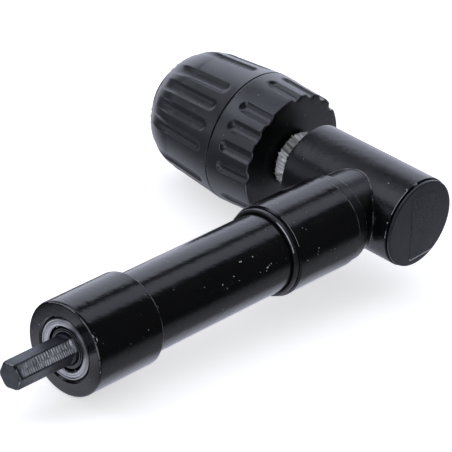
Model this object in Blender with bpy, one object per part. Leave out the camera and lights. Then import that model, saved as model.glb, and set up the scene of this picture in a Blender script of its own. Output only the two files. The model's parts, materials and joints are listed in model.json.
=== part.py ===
"""Right angle drill adapter.

A hex shank drives a shaft through the handle tube. A pair of bevel gears in the head turns the
drive through a right angle, and a keyless three jaw chuck sits on the spindle. The origin is the
middle of the flat back face of the head. The spindle runs along +Y and the handle along -X.
"""
import math

import bmesh
import bpy
from mathutils import Matrix, Vector

MM = 0.001

# Clearances
FIT = 0.3 * MM
RACE_GAP = 0.3 * MM
JAW_GAP = 0.3 * MM
WELD_DISTANCE = 0.002 * MM

# Bearings
SHAFT_BEARING_BORE = 10 * MM
SHAFT_BEARING_OUTER = 19 * MM
SHAFT_BEARING_WIDTH = 5 * MM
SPINDLE_BEARING_BORE = 12 * MM
SPINDLE_BEARING_OUTER = 24 * MM
SPINDLE_BEARING_WIDTH = 6 * MM
TAIL_BEARING_BORE = 8 * MM
TAIL_BEARING_OUTER = 16 * MM
TAIL_BEARING_WIDTH = 5 * MM
BALL_COUNT = 7
SHIELD_THICKNESS = 0.4 * MM
SHIELD_RECESS = 0.25 * MM
BALL_SHARE = 0.26
LAND_SHARE = 0.245
BALL_CUTS = (-0.9, 0, 0.9)
BALL_SIDES = 6

# Bevel gears
GEAR_TEETH = 14
GEAR_MODULE = 1.3 * MM
GEAR_FACE = 4.3 * MM
GEAR_BACKLASH = 0.25 * MM
PRESSURE_ANGLE = math.radians(20)
DEDENDUM = 1.25 * GEAR_MODULE
HUB_WALL = 2.7 * MM
GEAR_PIN_RADIUS = 1.0 * MM
CHAMBER_BEHIND_HUB = 1.3 * MM

# Head
BACK_TO_HANDLE = 19.7 * MM
HANDLE_TO_FRONT = 25.9 * MM
HEAD_WALL = 2.5 * MM
CHAMBER_STEP = 1.1 * MM
CAP_THICKNESS = 1.2 * MM
CAP_INSET = 0.35 * MM
CAP_GROOVE = 0.3 * MM
CAP_EDGE = 0.7 * MM
SPIGOT_RIM = 0.4 * MM
RING_NUT_THICKNESS = 2.8 * MM
RING_NUT_RECESS = 0.6 * MM
EDGE = 0.4 * MM

# Handle
NECK_ROOT = 5.0 * MM
NECK_WALL = 2.9 * MM
NECK_SHOWN = 3.8 * MM
LIP_THICKNESS = 1.6 * MM
LOCK_RING_LENGTH = 3.7 * MM
LOCK_RING_WALL = 1.1 * MM
SLEEVE_LENGTH = 27.1 * MM
SLEEVE_WALL = 1.6 * MM
SEAL_LENGTH = 1.4 * MM
SEAL_WALL = 0.9 * MM
TUBE_SHOWN = 58.8 * MM
TUBE_WALL = 2.5 * MM
COLLAR_LENGTH = 25.5 * MM
COLLAR_WALL = 1.7 * MM
COLLAR_SOCKET = 15.7 * MM
COLLAR_SHOULDER = 1.9 * MM
COLLAR_CHAMFER = 0.6 * MM
BEARING_RECESS = 0.2 * MM
SNAP_RING_THICKNESS = 1.0 * MM
SNAP_RING_DEPTH = 1.5 * MM
SNAP_GROOVE = 0.5 * MM
SNAP_RING_OPENING = math.radians(36)
SNAP_RING_STEPS = 12

# Shank
HEX_FLATS = 8 * MM
SHANK_LENGTH = 21.2 * MM
SHANK_TIP_RADIUS = 3.7 * MM
SHANK_TIP_LENGTH = 1.9 * MM
SHAFT_SHOULDER = 0.9 * MM
SHAFT_SHOULDER_LENGTH = 2.0 * MM
SHAFT_SIDES = 18
HEX_CORNER_ANGLE = math.radians(-18)

# Chuck
CHUCK_GAP = 8.2 * MM
REAR_DRAFT = 0.8 * MM
FRONT_DRAFT = 1.65 * MM
REAR_SLEEVE_LENGTH = 16.5 * MM
REAR_SLEEVE_FLOOR = 2.8 * MM
SLEEVE_SHELL = 3.2 * MM
SLEEVE_LIP = 2.5 * MM
SLEEVE_CONE_ROOM = 2.5 * MM
SLEEVE_INNER_STEP = 0.6 * MM
DOME_STEPS = 3
FRONT_TAPER_LENGTH = 19.1 * MM
NUT_SHELL = 2.9 * MM
DOME_LENGTH = 15.0 * MM
DOME_DROP = 12.6 * MM
DOME_SHOWN = 11.3 * MM
NOSE_RING_THICKNESS = 1.9 * MM
NOSE_RING_TEETH = 20
NOSE_RING_TOOTH = ((0, 0), (0.5, 0), (0.55, EDGE), (0.95, EDGE))
NOSE_RING_WALL = 1.3 * MM
NOSE_PROUD = 2.0 * MM
NOSE_WALL = 1.25 * MM
NOSE_CHAMFER = 0.8 * MM
HUB_RADIUS = 7.4 * MM
HUB_RING_RADIUS = 9.5 * MM
HUB_RING_NOTCHES = 14
HUB_RING_NOTCH_DEPTH = 1.3 * MM
SPINDLE_THREAD_RADIUS = 4.76 * MM
SPINDLE_THREAD_LENGTH = 17.6 * MM
SCREW_RADIUS = 2.5 * MM
SCREW_HEAD_RADIUS = 4.5 * MM
SCREW_HEAD_LENGTH = 3.5 * MM
SCREW_SOCKET_RADIUS = 2.0 * MM
SCREW_SOCKET_DEPTH = 2.1 * MM
SCREW_REACH = 12.3 * MM
SCREW_HOLE_DEPTH = 14.1 * MM
CHUCK_WEB = 2.7 * MM
BACK_FLANGE_THICKNESS = 7.0 * MM
CHUCK_BORE_RADIUS = 5.3 * MM
WAIST_STEP = 2.6 * MM

# Jaws
JAW_TILT = math.radians(17)
JAW_RADIUS = 3.2 * MM
JAW_LENGTH = 28 * MM
JAW_OPEN_RADIUS = 5.0 * MM
JAW_AXIS_OFFSET = 0.7 * MM
JAW_LAND = 1.0 * MM
JAW_TIP_DEPTH = 6.5 * MM
JAW_PROUD = 0.5 * MM
JAW_COUNT = 3

# Nut and thrust bearing
NUT_LENGTH = 6.0 * MM
NUT_FRONT_DEPTH = 11.8 * MM
NUT_WALL = 3.8 * MM
NUT_STEPS = 12
BAND_THICKNESS = 0.7 * MM
THRUST_BALL_RADIUS = 0.75 * MM
THRUST_BALL_COUNT = 10
RACE_THICKNESS = 0.8 * MM
FLANGE_THICKNESS = 4.0 * MM

# Grip flutes
FLUTE_RADIUS = 2.6 * MM
FLUTE_DEPTH = 1.1 * MM
FLUTES_IN_GROUP = 4
FLUTE_GROUPS = 4
FLUTE_PITCH = math.radians(18.5)
REAR_FLUTE_START = math.radians(-181)
FRONT_FLUTE_START = math.radians(-174)
REAR_FLUTE_END = 13.0 * MM
FRONT_FLUTE_REST = 4.2 * MM
FLUTE_SIDES = 8
FLUTE_END_SHARES = (0.2, 0.7)

# Facets
SEGMENTS_OUTSIDE = 28
SEGMENTS_BEARING = 16
SEGMENTS_INSIDE = 16
SEGMENTS_CHUCK = 24
SEGMENTS_PIN = 12

# Worked out along the handle, measured from the spindle's axis
SEAT_R = SHAFT_BEARING_OUTER / 2 + FIT
NECK_R = SEAT_R + NECK_WALL
SOCKET_R = NECK_R + FIT
HEAD_BORE_R = SPINDLE_BEARING_OUTER / 2 + FIT
HEAD_R = HEAD_BORE_R + HEAD_WALL
LOCK_RING_FROM = HEAD_R + NECK_SHOWN
LOCK_RING_TO = LOCK_RING_FROM + LOCK_RING_LENGTH
SLEEVE_FROM = LOCK_RING_TO + FIT
SLEEVE_TO = SLEEVE_FROM + SLEEVE_LENGTH
NECK_TO = (SLEEVE_FROM + SLEEVE_TO) / 2
TUBE_FROM = NECK_TO + FIT
COLLAR_FROM = SLEEVE_TO + TUBE_SHOWN
COLLAR_TO = COLLAR_FROM + COLLAR_LENGTH
TUBE_TO = COLLAR_FROM + COLLAR_SOCKET
FRONT_BEARING_TO = COLLAR_TO - BEARING_RECESS
FRONT_BEARING_FROM = FRONT_BEARING_TO - SHAFT_BEARING_WIDTH
SHANK_TO = COLLAR_TO + SHANK_LENGTH
SHAFT_R = SHAFT_BEARING_BORE / 2 - FIT

# Worked out for the gears, measured from the point where both axes meet
PITCH_R = GEAR_MODULE * GEAR_TEETH / 2
CONE_DISTANCE = PITCH_R * math.sqrt(2)
TOOTH_TIP_R = PITCH_R + GEAR_MODULE / math.sqrt(2)
TOOTH_ROOT_BACK = PITCH_R + DEDENDUM / math.sqrt(2)
TOE_SHARE = 1 - GEAR_FACE / CONE_DISTANCE
HUB_FROM = TOOTH_ROOT_BACK + FIT
TOE_FACE = TOOTH_ROOT_BACK * TOE_SHARE
GEAR_SEAT_R = SHAFT_R - 2 * FIT
GEAR_BORE_R = GEAR_SEAT_R + FIT
HUB_R = GEAR_BORE_R + HUB_WALL
NECK_CHAMBER_R = TOOTH_TIP_R + 2 * FIT
NECK_CHAMBER_TO = HUB_FROM + CHAMBER_BEHIND_HUB
NECK_BEARING_FROM = NECK_CHAMBER_TO + LIP_THICKNESS + FIT
NECK_BEARING_TO = NECK_BEARING_FROM + SHAFT_BEARING_WIDTH

# Worked out along the spindle, measured from the back face
TAIL_BEARING_FROM = CAP_THICKNESS + FIT
TAIL_BEARING_TO = TAIL_BEARING_FROM + TAIL_BEARING_WIDTH
SPIGOT_TO = TAIL_BEARING_TO + SPIGOT_RIM
HEAD_FROM = CAP_THICKNESS + CAP_GROOVE
HEAD_TO = BACK_TO_HANDLE + HANDLE_TO_FRONT
RING_NUT_TO = HEAD_TO - RING_NUT_RECESS
RING_NUT_FROM = RING_NUT_TO - RING_NUT_THICKNESS
SPINDLE_BEARING_TO = RING_NUT_FROM - FIT
SPINDLE_BEARING_FROM = SPINDLE_BEARING_TO - SPINDLE_BEARING_WIDTH
CHAMBER_R = HEAD_BORE_R - CHAMBER_STEP
SPINDLE_R = SPINDLE_BEARING_BORE / 2 - FIT
CHUCK_REAR = HEAD_TO + CHUCK_GAP
HUB_BACK = HEAD_TO + RING_NUT_RECESS + FIT
REAR_SLEEVE_TO = CHUCK_REAR + REAR_SLEEVE_LENGTH
FRONT_SLEEVE_FROM = REAR_SLEEVE_TO + FIT
TAPER_TO = FRONT_SLEEVE_FROM + FRONT_TAPER_LENGTH
FRONT_SLEEVE_TO = TAPER_TO + DOME_SHOWN
NOSE_RING_FROM = FRONT_SLEEVE_TO + FIT
NOSE_RING_TO = NOSE_RING_FROM + NOSE_RING_THICKNESS
NOSE_TO = NOSE_RING_TO + NOSE_PROUD
THREAD_TO = HUB_BACK + SPINDLE_THREAD_LENGTH
WEB_FROM = THREAD_TO + FIT
WEB_TO = WEB_FROM + CHUCK_WEB
NUT_TO = NOSE_TO - NUT_FRONT_DEPTH
NUT_FROM = NUT_TO - NUT_LENGTH
CAGE_FROM = NUT_FROM - FIT - 2 * THRUST_BALL_RADIUS
RACE_TO = CAGE_FROM - RACE_GAP
RACE_FROM = RACE_TO - RACE_THICKNESS
FLANGE_TO = RACE_FROM - FIT
FLANGE_FROM = FLANGE_TO - FLANGE_THICKNESS
BACK_FLANGE_FROM = CHUCK_REAR + REAR_SLEEVE_FLOOR + FIT
BACK_FLANGE_TO = BACK_FLANGE_FROM + BACK_FLANGE_THICKNESS
JAW_TIP = NOSE_TO - JAW_TIP_DEPTH
JAW_AXIS_AT_TIP = JAW_OPEN_RADIUS + JAW_AXIS_OFFSET

# Worked out across the chuck, from the jaws outwards
JAW_REACH_AT_NUT = JAW_AXIS_AT_TIP + (JAW_TIP - NUT_FROM) * math.tan(JAW_TILT)
NUT_RADIUS = JAW_REACH_AT_NUT + JAW_RADIUS / math.cos(JAW_TILT) + FIT + NUT_WALL
WAIST_RADIUS = NUT_RADIUS - WAIST_STEP
BAND_R = NUT_RADIUS + FIT + BAND_THICKNESS
SLEEVE_BORE_R = BAND_R + FIT
FRONT_TAPER_RADIUS = SLEEVE_BORE_R + NUT_SHELL
CHUCK_SEAM_RADIUS = FRONT_TAPER_RADIUS + FRONT_DRAFT
CHUCK_REAR_RADIUS = CHUCK_SEAM_RADIUS - REAR_DRAFT
DOME_SHARE_AT_NOSE = (NOSE_RING_TO - TAPER_TO) / DOME_LENGTH
DOME_R_AT_NOSE = FRONT_TAPER_RADIUS - DOME_DROP * (1 - math.sqrt(1 - DOME_SHARE_AT_NOSE ** 2))
NOSE_RADIUS = DOME_R_AT_NOSE - NOSE_RING_WALL - FIT


def clear_scene():
    for thing in list(bpy.data.objects):
        bpy.data.objects.remove(thing, do_unlink=True)


def axis_empty(name, location, rotation):
    empty = bpy.data.objects.new(name, None)
    empty.empty_display_size = 10 * MM
    empty.location = location
    empty.rotation_euler = rotation
    bpy.context.scene.collection.objects.link(empty)
    return empty


def add_object(name, mesh, axis):
    thing = bpy.data.objects.new(name, mesh)
    bpy.context.scene.collection.objects.link(thing)
    thing.parent = axis
    return thing


def finish(thing, color, roughness, metallic):
    material = bpy.data.materials.new(thing.name + "_finish")
    material.use_nodes = True
    shader = material.node_tree.nodes["Principled BSDF"]
    shader.inputs["Base Color"].default_value = (*color, 1)
    shader.inputs["Roughness"].default_value = roughness
    shader.inputs["Metallic"].default_value = metallic
    thing.data.materials.clear()
    thing.data.materials.append(material)
    return thing


def black_paint(thing):
    return finish(thing, (0.016, 0.016, 0.018), 0.28, 0.0)


def dark_steel(thing):
    return finish(thing, (0.09, 0.10, 0.115), 0.45, 0.9)


def bright_steel(thing):
    return finish(thing, (0.62, 0.62, 0.61), 0.3, 1.0)


def gear_steel(thing):
    return finish(thing, (0.35, 0.34, 0.33), 0.4, 1.0)


def charcoal_plastic(thing):
    return finish(thing, (0.045, 0.047, 0.052), 0.6, 0.0)


def black_rubber(thing):
    return finish(thing, (0.02, 0.02, 0.02), 0.75, 0.0)


def rounded(corners, steps=1):
    """Outline from corners (along, radius) or (along, radius, fillet)."""
    points = []
    count = len(corners)
    for index, corner in enumerate(corners):
        here = Vector(corner[:2])
        if len(corner) < 3:
            points.append(here)
            continue
        before = (Vector(corners[index - 1][:2]) - here).normalized()
        after = (Vector(corners[(index + 1) % count][:2]) - here).normalized()
        half = before.angle(after) / 2
        centre = here + (before + after).normalized() * corner[2] / math.sin(half)
        start = here + before * corner[2] / math.tan(half) - centre
        turn = (math.pi - 2 * half) * (1 if before.cross(after) < 0 else -1)
        for step in range(steps + 1):
            angle = turn * step / steps
            spun = Vector((start.x * math.cos(angle) - start.y * math.sin(angle),
                           start.x * math.sin(angle) + start.y * math.cos(angle)))
            points.append(centre + spun)
    return points


def mesh_from(name, bm):
    bmesh.ops.recalc_face_normals(bm, faces=bm.faces)
    mesh = bpy.data.meshes.new(name)
    bm.to_mesh(mesh)
    bm.free()
    mesh.shade_smooth()
    mesh.set_sharp_from_angle(angle=math.radians(30))
    return mesh


def revolve(name, corners, axis, segments=SEGMENTS_INSIDE, steps=1):
    """Turned piece: the outline spun about the axis, closed where it leaves the centre line."""
    outline = rounded(corners, steps)
    bm = bmesh.new()
    verts = [bm.verts.new((radius, 0, along)) for along, radius in outline]
    edges = [bm.edges.new(pair) for pair in zip(verts, verts[1:])]
    if min(point.y for point in outline) > 0:
        edges.append(bm.edges.new((verts[-1], verts[0])))
    bmesh.ops.spin(bm, geom=verts + edges, cent=(0, 0, 0), axis=(0, 0, 1), angle=math.tau,
                   steps=segments, use_merge=True)
    bmesh.ops.remove_doubles(bm, verts=bm.verts, dist=0.001 * MM)
    return add_object(name, mesh_from(name, bm), axis)


def rod(name, radius, start, end, axis, segments=SEGMENTS_INSIDE):
    return revolve(name, [(start, 0), (start, radius), (end, radius), (end, 0)], axis, segments)


def skin(name, rings, axis, closed):
    """Piece made of equal rings of points, each joined to the next."""
    bm = bmesh.new()
    loops = [[bm.verts.new(point) for point in ring] for ring in rings]
    followers = loops[1:] + (loops[:1] if closed else [])
    for loop, following in zip(loops, followers):
        for index in range(len(loop)):
            bm.faces.new((loop[index - 1], loop[index], following[index], following[index - 1]))
    if not closed:
        bm.faces.new(loops[0])
        bm.faces.new(loops[-1])
    return add_object(name, mesh_from(name, bm), axis)


def polar(radius, angle, along):
    return Vector((radius * math.cos(angle), radius * math.sin(angle), along))


def as_tool(thing):
    thing.hide_render = True
    thing.display_type = "WIRE"
    return thing


def combine(target, tool, operation="DIFFERENCE"):
    modifier = target.modifiers.new(tool.name, "BOOLEAN")
    modifier.operation = operation
    modifier.solver = "EXACT"
    modifier.object = as_tool(tool)


def weld(thing):
    """Merges the points that cutting leaves almost on top of each other."""
    modifier = thing.modifiers.new("weld", "WELD")
    modifier.merge_threshold = WELD_DISTANCE
    return thing


def join_tools(name, things):
    """One cutter from several separate bodies under the same parent."""
    bm = bmesh.new()
    for thing in things:
        mesh = thing.data.copy()
        mesh.transform(thing.matrix_basis)
        bm.from_mesh(mesh)
        bpy.data.meshes.remove(mesh)
    joined = add_object(name, mesh_from(name, bm), things[0].parent)
    for thing in things:
        bpy.data.objects.remove(thing, do_unlink=True)
    return joined


def bearing(name, axis, start, bore, outer, width, shielded=False):
    """Ball bearing: outer ring, with shields where it shows, inner ring, and balls in their cage."""
    section = (outer - bore) / 2
    pitch = (outer + bore) / 4
    ball = BALL_SHARE * section
    land = LAND_SHARE * section
    end = start + width
    middle = (start + end) / 2
    groove = [(middle - ball / 2, pitch + land), (middle, pitch + ball + RACE_GAP),
              (middle + ball / 2, pitch + land)]
    low_side = [(start, outer / 2), (start, pitch + land)]
    high_side = [(end, pitch + land), (end, outer / 2)]
    if shielded:
        shield_in = pitch - land + FIT
        low = start + SHIELD_RECESS
        high = end - SHIELD_RECESS
        low_side += [(low, pitch + land), (low, shield_in), (low + SHIELD_THICKNESS, shield_in),
                     (low + SHIELD_THICKNESS, pitch + land)]
        high_side = [(high - SHIELD_THICKNESS, pitch + land), (high - SHIELD_THICKNESS, shield_in),
                     (high, shield_in), (high, pitch + land)] + high_side
    bright_steel(revolve(name + "_outer_ring", low_side + groove + high_side, axis, SEGMENTS_BEARING))
    race = [(start, bore / 2), (start, pitch - land), (middle - ball / 2, pitch - land),
            (middle, pitch - ball - RACE_GAP), (middle + ball / 2, pitch - land),
            (end, pitch - land), (end, bore / 2)]
    dark_steel(revolve(name + "_inner_ring", race, axis, SEGMENTS_BEARING))
    bright_steel(ball_cage(name + "_balls", axis, middle, pitch, ball, BALL_COUNT))


def ball_cage(name, axis, along, pitch, ball, count):
    """Balls strung on the ring that spaces them, as one closed string of beads."""
    rings = []
    for index in range(count):
        for share in BALL_CUTS:
            turn = math.tau * index / count + share * ball / pitch
            swell = ball * math.sqrt(1 - share * share)
            rings.append([polar(pitch + swell * math.cos(math.tau * side / BALL_SIDES), turn,
                                along + swell * math.sin(math.tau * side / BALL_SIDES))
                          for side in range(BALL_SIDES)])
    return skin(name, rings, axis, closed=True)


def snap_ring(name, axis, start, inner, outer):
    """Open retaining ring of rectangular section."""
    end = start + SNAP_RING_THICKNESS
    section = ((inner, start), (outer, start), (outer, end), (inner, end))
    sweep = math.tau - SNAP_RING_OPENING
    rings = [[polar(radius, sweep * step / SNAP_RING_STEPS, along) for radius, along in section]
             for step in range(SNAP_RING_STEPS + 1)]
    return dark_steel(skin(name, rings, axis, closed=False))


def tooth_points():
    """One tooth on the back cone: slant distance and turn about the gear's axis."""
    virtual_r = PITCH_R * math.sqrt(2)
    base = virtual_r * math.cos(PRESSURE_ANGLE)
    tip = virtual_r + GEAR_MODULE
    root = virtual_r - DEDENDUM
    involute = math.tan(PRESSURE_ANGLE) - PRESSURE_ANGLE
    half_at_pitch = (math.pi * GEAR_MODULE / 2 - GEAR_BACKLASH) / (2 * virtual_r)
    side = []
    for slant in (root, base, tip):
        pressure = math.acos(min(1.0, base / slant))
        half = half_at_pitch + involute - (math.tan(pressure) - pressure)
        side.append((slant, half * math.sqrt(2)))
    return [(slant, -half) for slant, half in side] + [(slant, half) for slant, half in reversed(side)]


def bevel_gear(name, axis, apex, hub_to, phase):
    """Straight bevel gear with 45 degree pitch cone, its teeth running to the common apex."""
    slants = []
    turns = []
    for tooth in range(GEAR_TEETH):
        for slant, half in tooth_points():
            slants.append(slant)
            turns.append(phase + math.tau * tooth / GEAR_TEETH + half)
    heel = [polar(slant / math.sqrt(2), turn, 2 * PITCH_R - slant / math.sqrt(2))
            for slant, turn in zip(slants, turns)]
    toe = [point * TOE_SHARE for point in heel]
    lift = Vector((0, 0, apex))

    def circle(radius, along):
        return [polar(radius, turn, along) for turn in turns]

    rings = [circle(GEAR_BORE_R, TOE_FACE), toe, heel, circle(HUB_R, HUB_FROM), circle(HUB_R, hub_to),
             circle(GEAR_BORE_R, hub_to)]
    rings = [[point + lift for point in ring] for ring in rings]
    return gear_steel(skin(name, rings, axis, closed=True))


def cross_pin(name, axis, along, reach, targets):
    """Pin through hub and shaft, with its hole in each of them."""
    across = Matrix.Translation((0, 0, along)) @ Matrix.Rotation(math.pi / 2, 4, "Y")
    pin = rod(name, GEAR_PIN_RADIUS, -reach, reach, axis, segments=SEGMENTS_PIN)
    pin.data.transform(across)
    hole = rod(name + "_hole", GEAR_PIN_RADIUS + FIT, -2 * reach, 2 * reach, axis, segments=SEGMENTS_PIN)
    hole.data.transform(across)
    for target in targets:
        combine(target, hole)
        weld(target)
    return dark_steel(pin)


def head_housing(spindle_axis, handle_axis):
    """Barrel of the head with its bored neck."""
    barrel = revolve("head_housing", [(HEAD_FROM, 0), (HEAD_FROM, HEAD_R - CAP_INSET - EDGE),
                                      (HEAD_FROM + EDGE, HEAD_R), (HEAD_TO - EDGE, HEAD_R),
                                      (HEAD_TO, HEAD_R - EDGE), (HEAD_TO, 0)],
                     spindle_axis, SEGMENTS_OUTSIDE)
    neck = rod("head_neck", NECK_R, NECK_ROOT, NECK_TO, handle_axis, SEGMENTS_OUTSIDE)
    neck.rotation_euler = (0, 0, math.pi / SEGMENTS_OUTSIDE)
    combine(barrel, neck, "UNION")
    bore = revolve("head_bore", [(0, 0), (0, HEAD_BORE_R), (SPIGOT_TO + FIT, HEAD_BORE_R),
                                 (SPIGOT_TO + FIT, CHAMBER_R), (SPINDLE_BEARING_FROM - FIT, CHAMBER_R),
                                 (SPINDLE_BEARING_FROM - FIT, HEAD_BORE_R),
                                 (HEAD_TO + EDGE, HEAD_BORE_R), (HEAD_TO + EDGE, 0)],
                   spindle_axis, SEGMENTS_INSIDE)
    combine(barrel, bore)
    groove_from = NECK_BEARING_TO + FIT
    groove_to = groove_from + SNAP_RING_THICKNESS + 2 * FIT
    lip_r = HUB_R + 2 * FIT
    lip_from = NECK_CHAMBER_TO
    neck_bore = revolve("neck_bore", [(0, 0), (0, NECK_CHAMBER_R), (lip_from, NECK_CHAMBER_R),
                                      (lip_from, lip_r), (lip_from + LIP_THICKNESS, lip_r),
                                      (lip_from + LIP_THICKNESS, SEAT_R), (groove_from, SEAT_R),
                                      (groove_from, SEAT_R + SNAP_GROOVE),
                                      (groove_to, SEAT_R + SNAP_GROOVE), (groove_to, SEAT_R),
                                      (NECK_TO + EDGE, SEAT_R), (NECK_TO + EDGE, 0)],
                        handle_axis, SEGMENTS_INSIDE)
    neck_bore.rotation_euler = (0, 0, math.pi / SEGMENTS_INSIDE)
    combine(barrel, neck_bore)
    return black_paint(weld(barrel))


def end_cap(axis):
    """Flat cap that closes the back of the head and holds the tail bearing."""
    disc_r = HEAD_R - CAP_INSET
    spigot_r = HEAD_BORE_R - FIT
    seat_r = TAIL_BEARING_OUTER / 2 + FIT
    return dark_steel(revolve("head_end_cap", [(0, 0), (0, disc_r, CAP_EDGE), (CAP_THICKNESS, disc_r),
                                               (CAP_THICKNESS, spigot_r), (SPIGOT_TO, spigot_r),
                                               (SPIGOT_TO, seat_r), (CAP_THICKNESS, seat_r),
                                               (CAP_THICKNESS, 0)], axis, SEGMENTS_OUTSIDE))


def ring_nut(axis):
    """Threaded ring that holds the spindle bearing in the front of the head."""
    inner = SPINDLE_R + SNAP_RING_DEPTH + 2 * FIT
    outer = HEAD_BORE_R - FIT
    return dark_steel(revolve("bearing_ring_nut", [(RING_NUT_FROM, inner), (RING_NUT_FROM, outer),
                                                   (RING_NUT_TO, outer), (RING_NUT_TO, inner + EDGE),
                                                   (RING_NUT_TO - EDGE, inner)], axis))


def handle_pieces(axis):
    """Lock ring, grip sleeve, seal, tube and bearing collar along the handle."""
    ring_r = SOCKET_R + LOCK_RING_WALL
    black_paint(revolve("neck_lock_ring", [(LOCK_RING_FROM, SOCKET_R), (LOCK_RING_FROM, ring_r, EDGE),
                                           (LOCK_RING_TO, ring_r, EDGE), (LOCK_RING_TO, SOCKET_R)],
                        axis, SEGMENTS_OUTSIDE))
    sleeve_r = SOCKET_R + SLEEVE_WALL
    black_paint(revolve("grip_sleeve", [(SLEEVE_FROM, SOCKET_R), (SLEEVE_FROM, sleeve_r, EDGE),
                                        (SLEEVE_TO, sleeve_r, EDGE), (SLEEVE_TO, SOCKET_R)],
                        axis, SEGMENTS_OUTSIDE))
    seal_from = SLEEVE_TO + FIT
    black_rubber(revolve("sleeve_seal", [(seal_from, SOCKET_R), (seal_from, SOCKET_R + SEAL_WALL),
                                         (seal_from + SEAL_LENGTH, SOCKET_R + SEAL_WALL, EDGE),
                                         (seal_from + SEAL_LENGTH, SOCKET_R)],
                         axis, SEGMENTS_OUTSIDE))
    bore_r = NECK_R - TUBE_WALL
    black_paint(revolve("handle_tube", [(TUBE_FROM, bore_r), (TUBE_FROM, NECK_R), (TUBE_TO, NECK_R),
                                        (TUBE_TO, bore_r)], axis, SEGMENTS_OUTSIDE))
    collar_r = SOCKET_R + COLLAR_WALL
    seat_from = FRONT_BEARING_FROM - FIT
    floor_to = TUBE_TO + FIT
    shoulder_r = SHAFT_BEARING_OUTER / 2 - COLLAR_SHOULDER
    black_paint(revolve("front_collar", [(COLLAR_FROM, SOCKET_R), (COLLAR_FROM, collar_r, COLLAR_CHAMFER),
                                         (COLLAR_TO, collar_r, COLLAR_CHAMFER),
                                         (COLLAR_TO, SEAT_R + EDGE), (COLLAR_TO - EDGE, SEAT_R),
                                         (seat_from, SEAT_R), (seat_from, shoulder_r),
                                         (floor_to, shoulder_r), (floor_to, SOCKET_R)],
                        axis, SEGMENTS_OUTSIDE))


def hex_radius(angle):
    across = math.pi / 3
    local = (angle - HEX_CORNER_ANGLE) % across - across / 2
    return HEX_FLATS / 2 / math.cos(local)


def input_shaft(axis):
    """Hex shank, turned shaft and pinion seat in one piece, from the tip inwards."""
    turns = [HEX_CORNER_ANGLE + math.tau * side / SHAFT_SIDES for side in range(SHAFT_SIDES)]

    def circle(radius, along):
        return [polar(radius, turn, along) for turn in turns]

    def hexagon(limit, along):
        return [polar(min(hex_radius(turn), limit), turn, along) for turn in turns]

    corner = HEX_FLATS / math.sqrt(3)
    shoulder_to = FRONT_BEARING_FROM - FIT
    shoulder_from = shoulder_to - SHAFT_SHOULDER_LENGTH
    groove_from = NECK_BEARING_TO + FIT / 2
    groove_to = groove_from + SNAP_RING_THICKNESS + FIT
    seat_to = NECK_BEARING_FROM - FIT
    rings = [hexagon(SHANK_TIP_RADIUS, SHANK_TO), hexagon(corner, SHANK_TO - SHANK_TIP_LENGTH),
             hexagon(corner, COLLAR_TO + FIT), circle(SHAFT_R, COLLAR_TO), circle(SHAFT_R, shoulder_to),
             circle(SHAFT_R + SHAFT_SHOULDER, shoulder_to), circle(SHAFT_R + SHAFT_SHOULDER, shoulder_from),
             circle(SHAFT_R, shoulder_from), circle(SHAFT_R, groove_to),
             circle(SHAFT_R - SNAP_GROOVE, groove_to), circle(SHAFT_R - SNAP_GROOVE, groove_from),
             circle(SHAFT_R, groove_from), circle(SHAFT_R, seat_to), circle(GEAR_SEAT_R, seat_to),
             circle(GEAR_SEAT_R, TOE_FACE)]
    return dark_steel(skin("input_shaft", rings, axis, closed=False))


def input_train(axis):
    """Everything that turns about the handle's axis, and its two bearings."""
    bearing("front_bearing", axis, FRONT_BEARING_FROM, SHAFT_BEARING_BORE, SHAFT_BEARING_OUTER,
            SHAFT_BEARING_WIDTH, shielded=True)
    bearing("neck_bearing", axis, NECK_BEARING_FROM, SHAFT_BEARING_BORE, SHAFT_BEARING_OUTER,
            SHAFT_BEARING_WIDTH)
    shaft = input_shaft(axis)
    pinion = bevel_gear("drive_pinion", axis, 0, NECK_BEARING_FROM - FIT, math.pi / 2)
    pin_at = (HUB_FROM + NECK_BEARING_FROM - FIT) / 2
    cross_pin("pinion_pin", axis, pin_at, HUB_R - FIT, [shaft, pinion])
    shaft_clip_from = NECK_BEARING_TO + FIT
    snap_ring("shaft_snap_ring", axis, shaft_clip_from, SHAFT_R - SNAP_GROOVE + FIT / 2,
              SHAFT_R - SNAP_GROOVE + SNAP_RING_DEPTH)
    housing_clip_from = shaft_clip_from + FIT
    snap_ring("neck_snap_ring", axis, housing_clip_from, SEAT_R + SNAP_GROOVE - FIT - SNAP_RING_DEPTH,
              SEAT_R + SNAP_GROOVE - FIT)


def spindle_shaft(axis):
    """Stepped spindle from the tail journal to the chuck thread."""
    tail_r = TAIL_BEARING_BORE / 2 - FIT
    middle_from = TAIL_BEARING_TO + FIT
    seat_to = SPINDLE_BEARING_FROM - FIT / 2
    groove_from = SPINDLE_BEARING_TO + FIT / 2
    groove_to = groove_from + SNAP_RING_THICKNESS + FIT
    shoulder = HUB_BACK - FIT
    screw_hole_from = THREAD_TO - SCREW_HOLE_DEPTH
    return gear_steel(revolve("spindle", [
        (TAIL_BEARING_FROM + FIT, 0), (TAIL_BEARING_FROM + FIT, tail_r), (middle_from, tail_r),
        (middle_from, GEAR_SEAT_R), (seat_to, GEAR_SEAT_R), (seat_to, SPINDLE_R),
        (groove_from, SPINDLE_R), (groove_from, SPINDLE_R - SNAP_GROOVE),
        (groove_to, SPINDLE_R - SNAP_GROOVE), (groove_to, SPINDLE_R), (shoulder, SPINDLE_R),
        (shoulder, SPINDLE_THREAD_RADIUS), (THREAD_TO, SPINDLE_THREAD_RADIUS),
        (THREAD_TO, SCREW_RADIUS + FIT), (screw_hole_from, SCREW_RADIUS + FIT),
        (screw_hole_from, 0)], axis))


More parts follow.
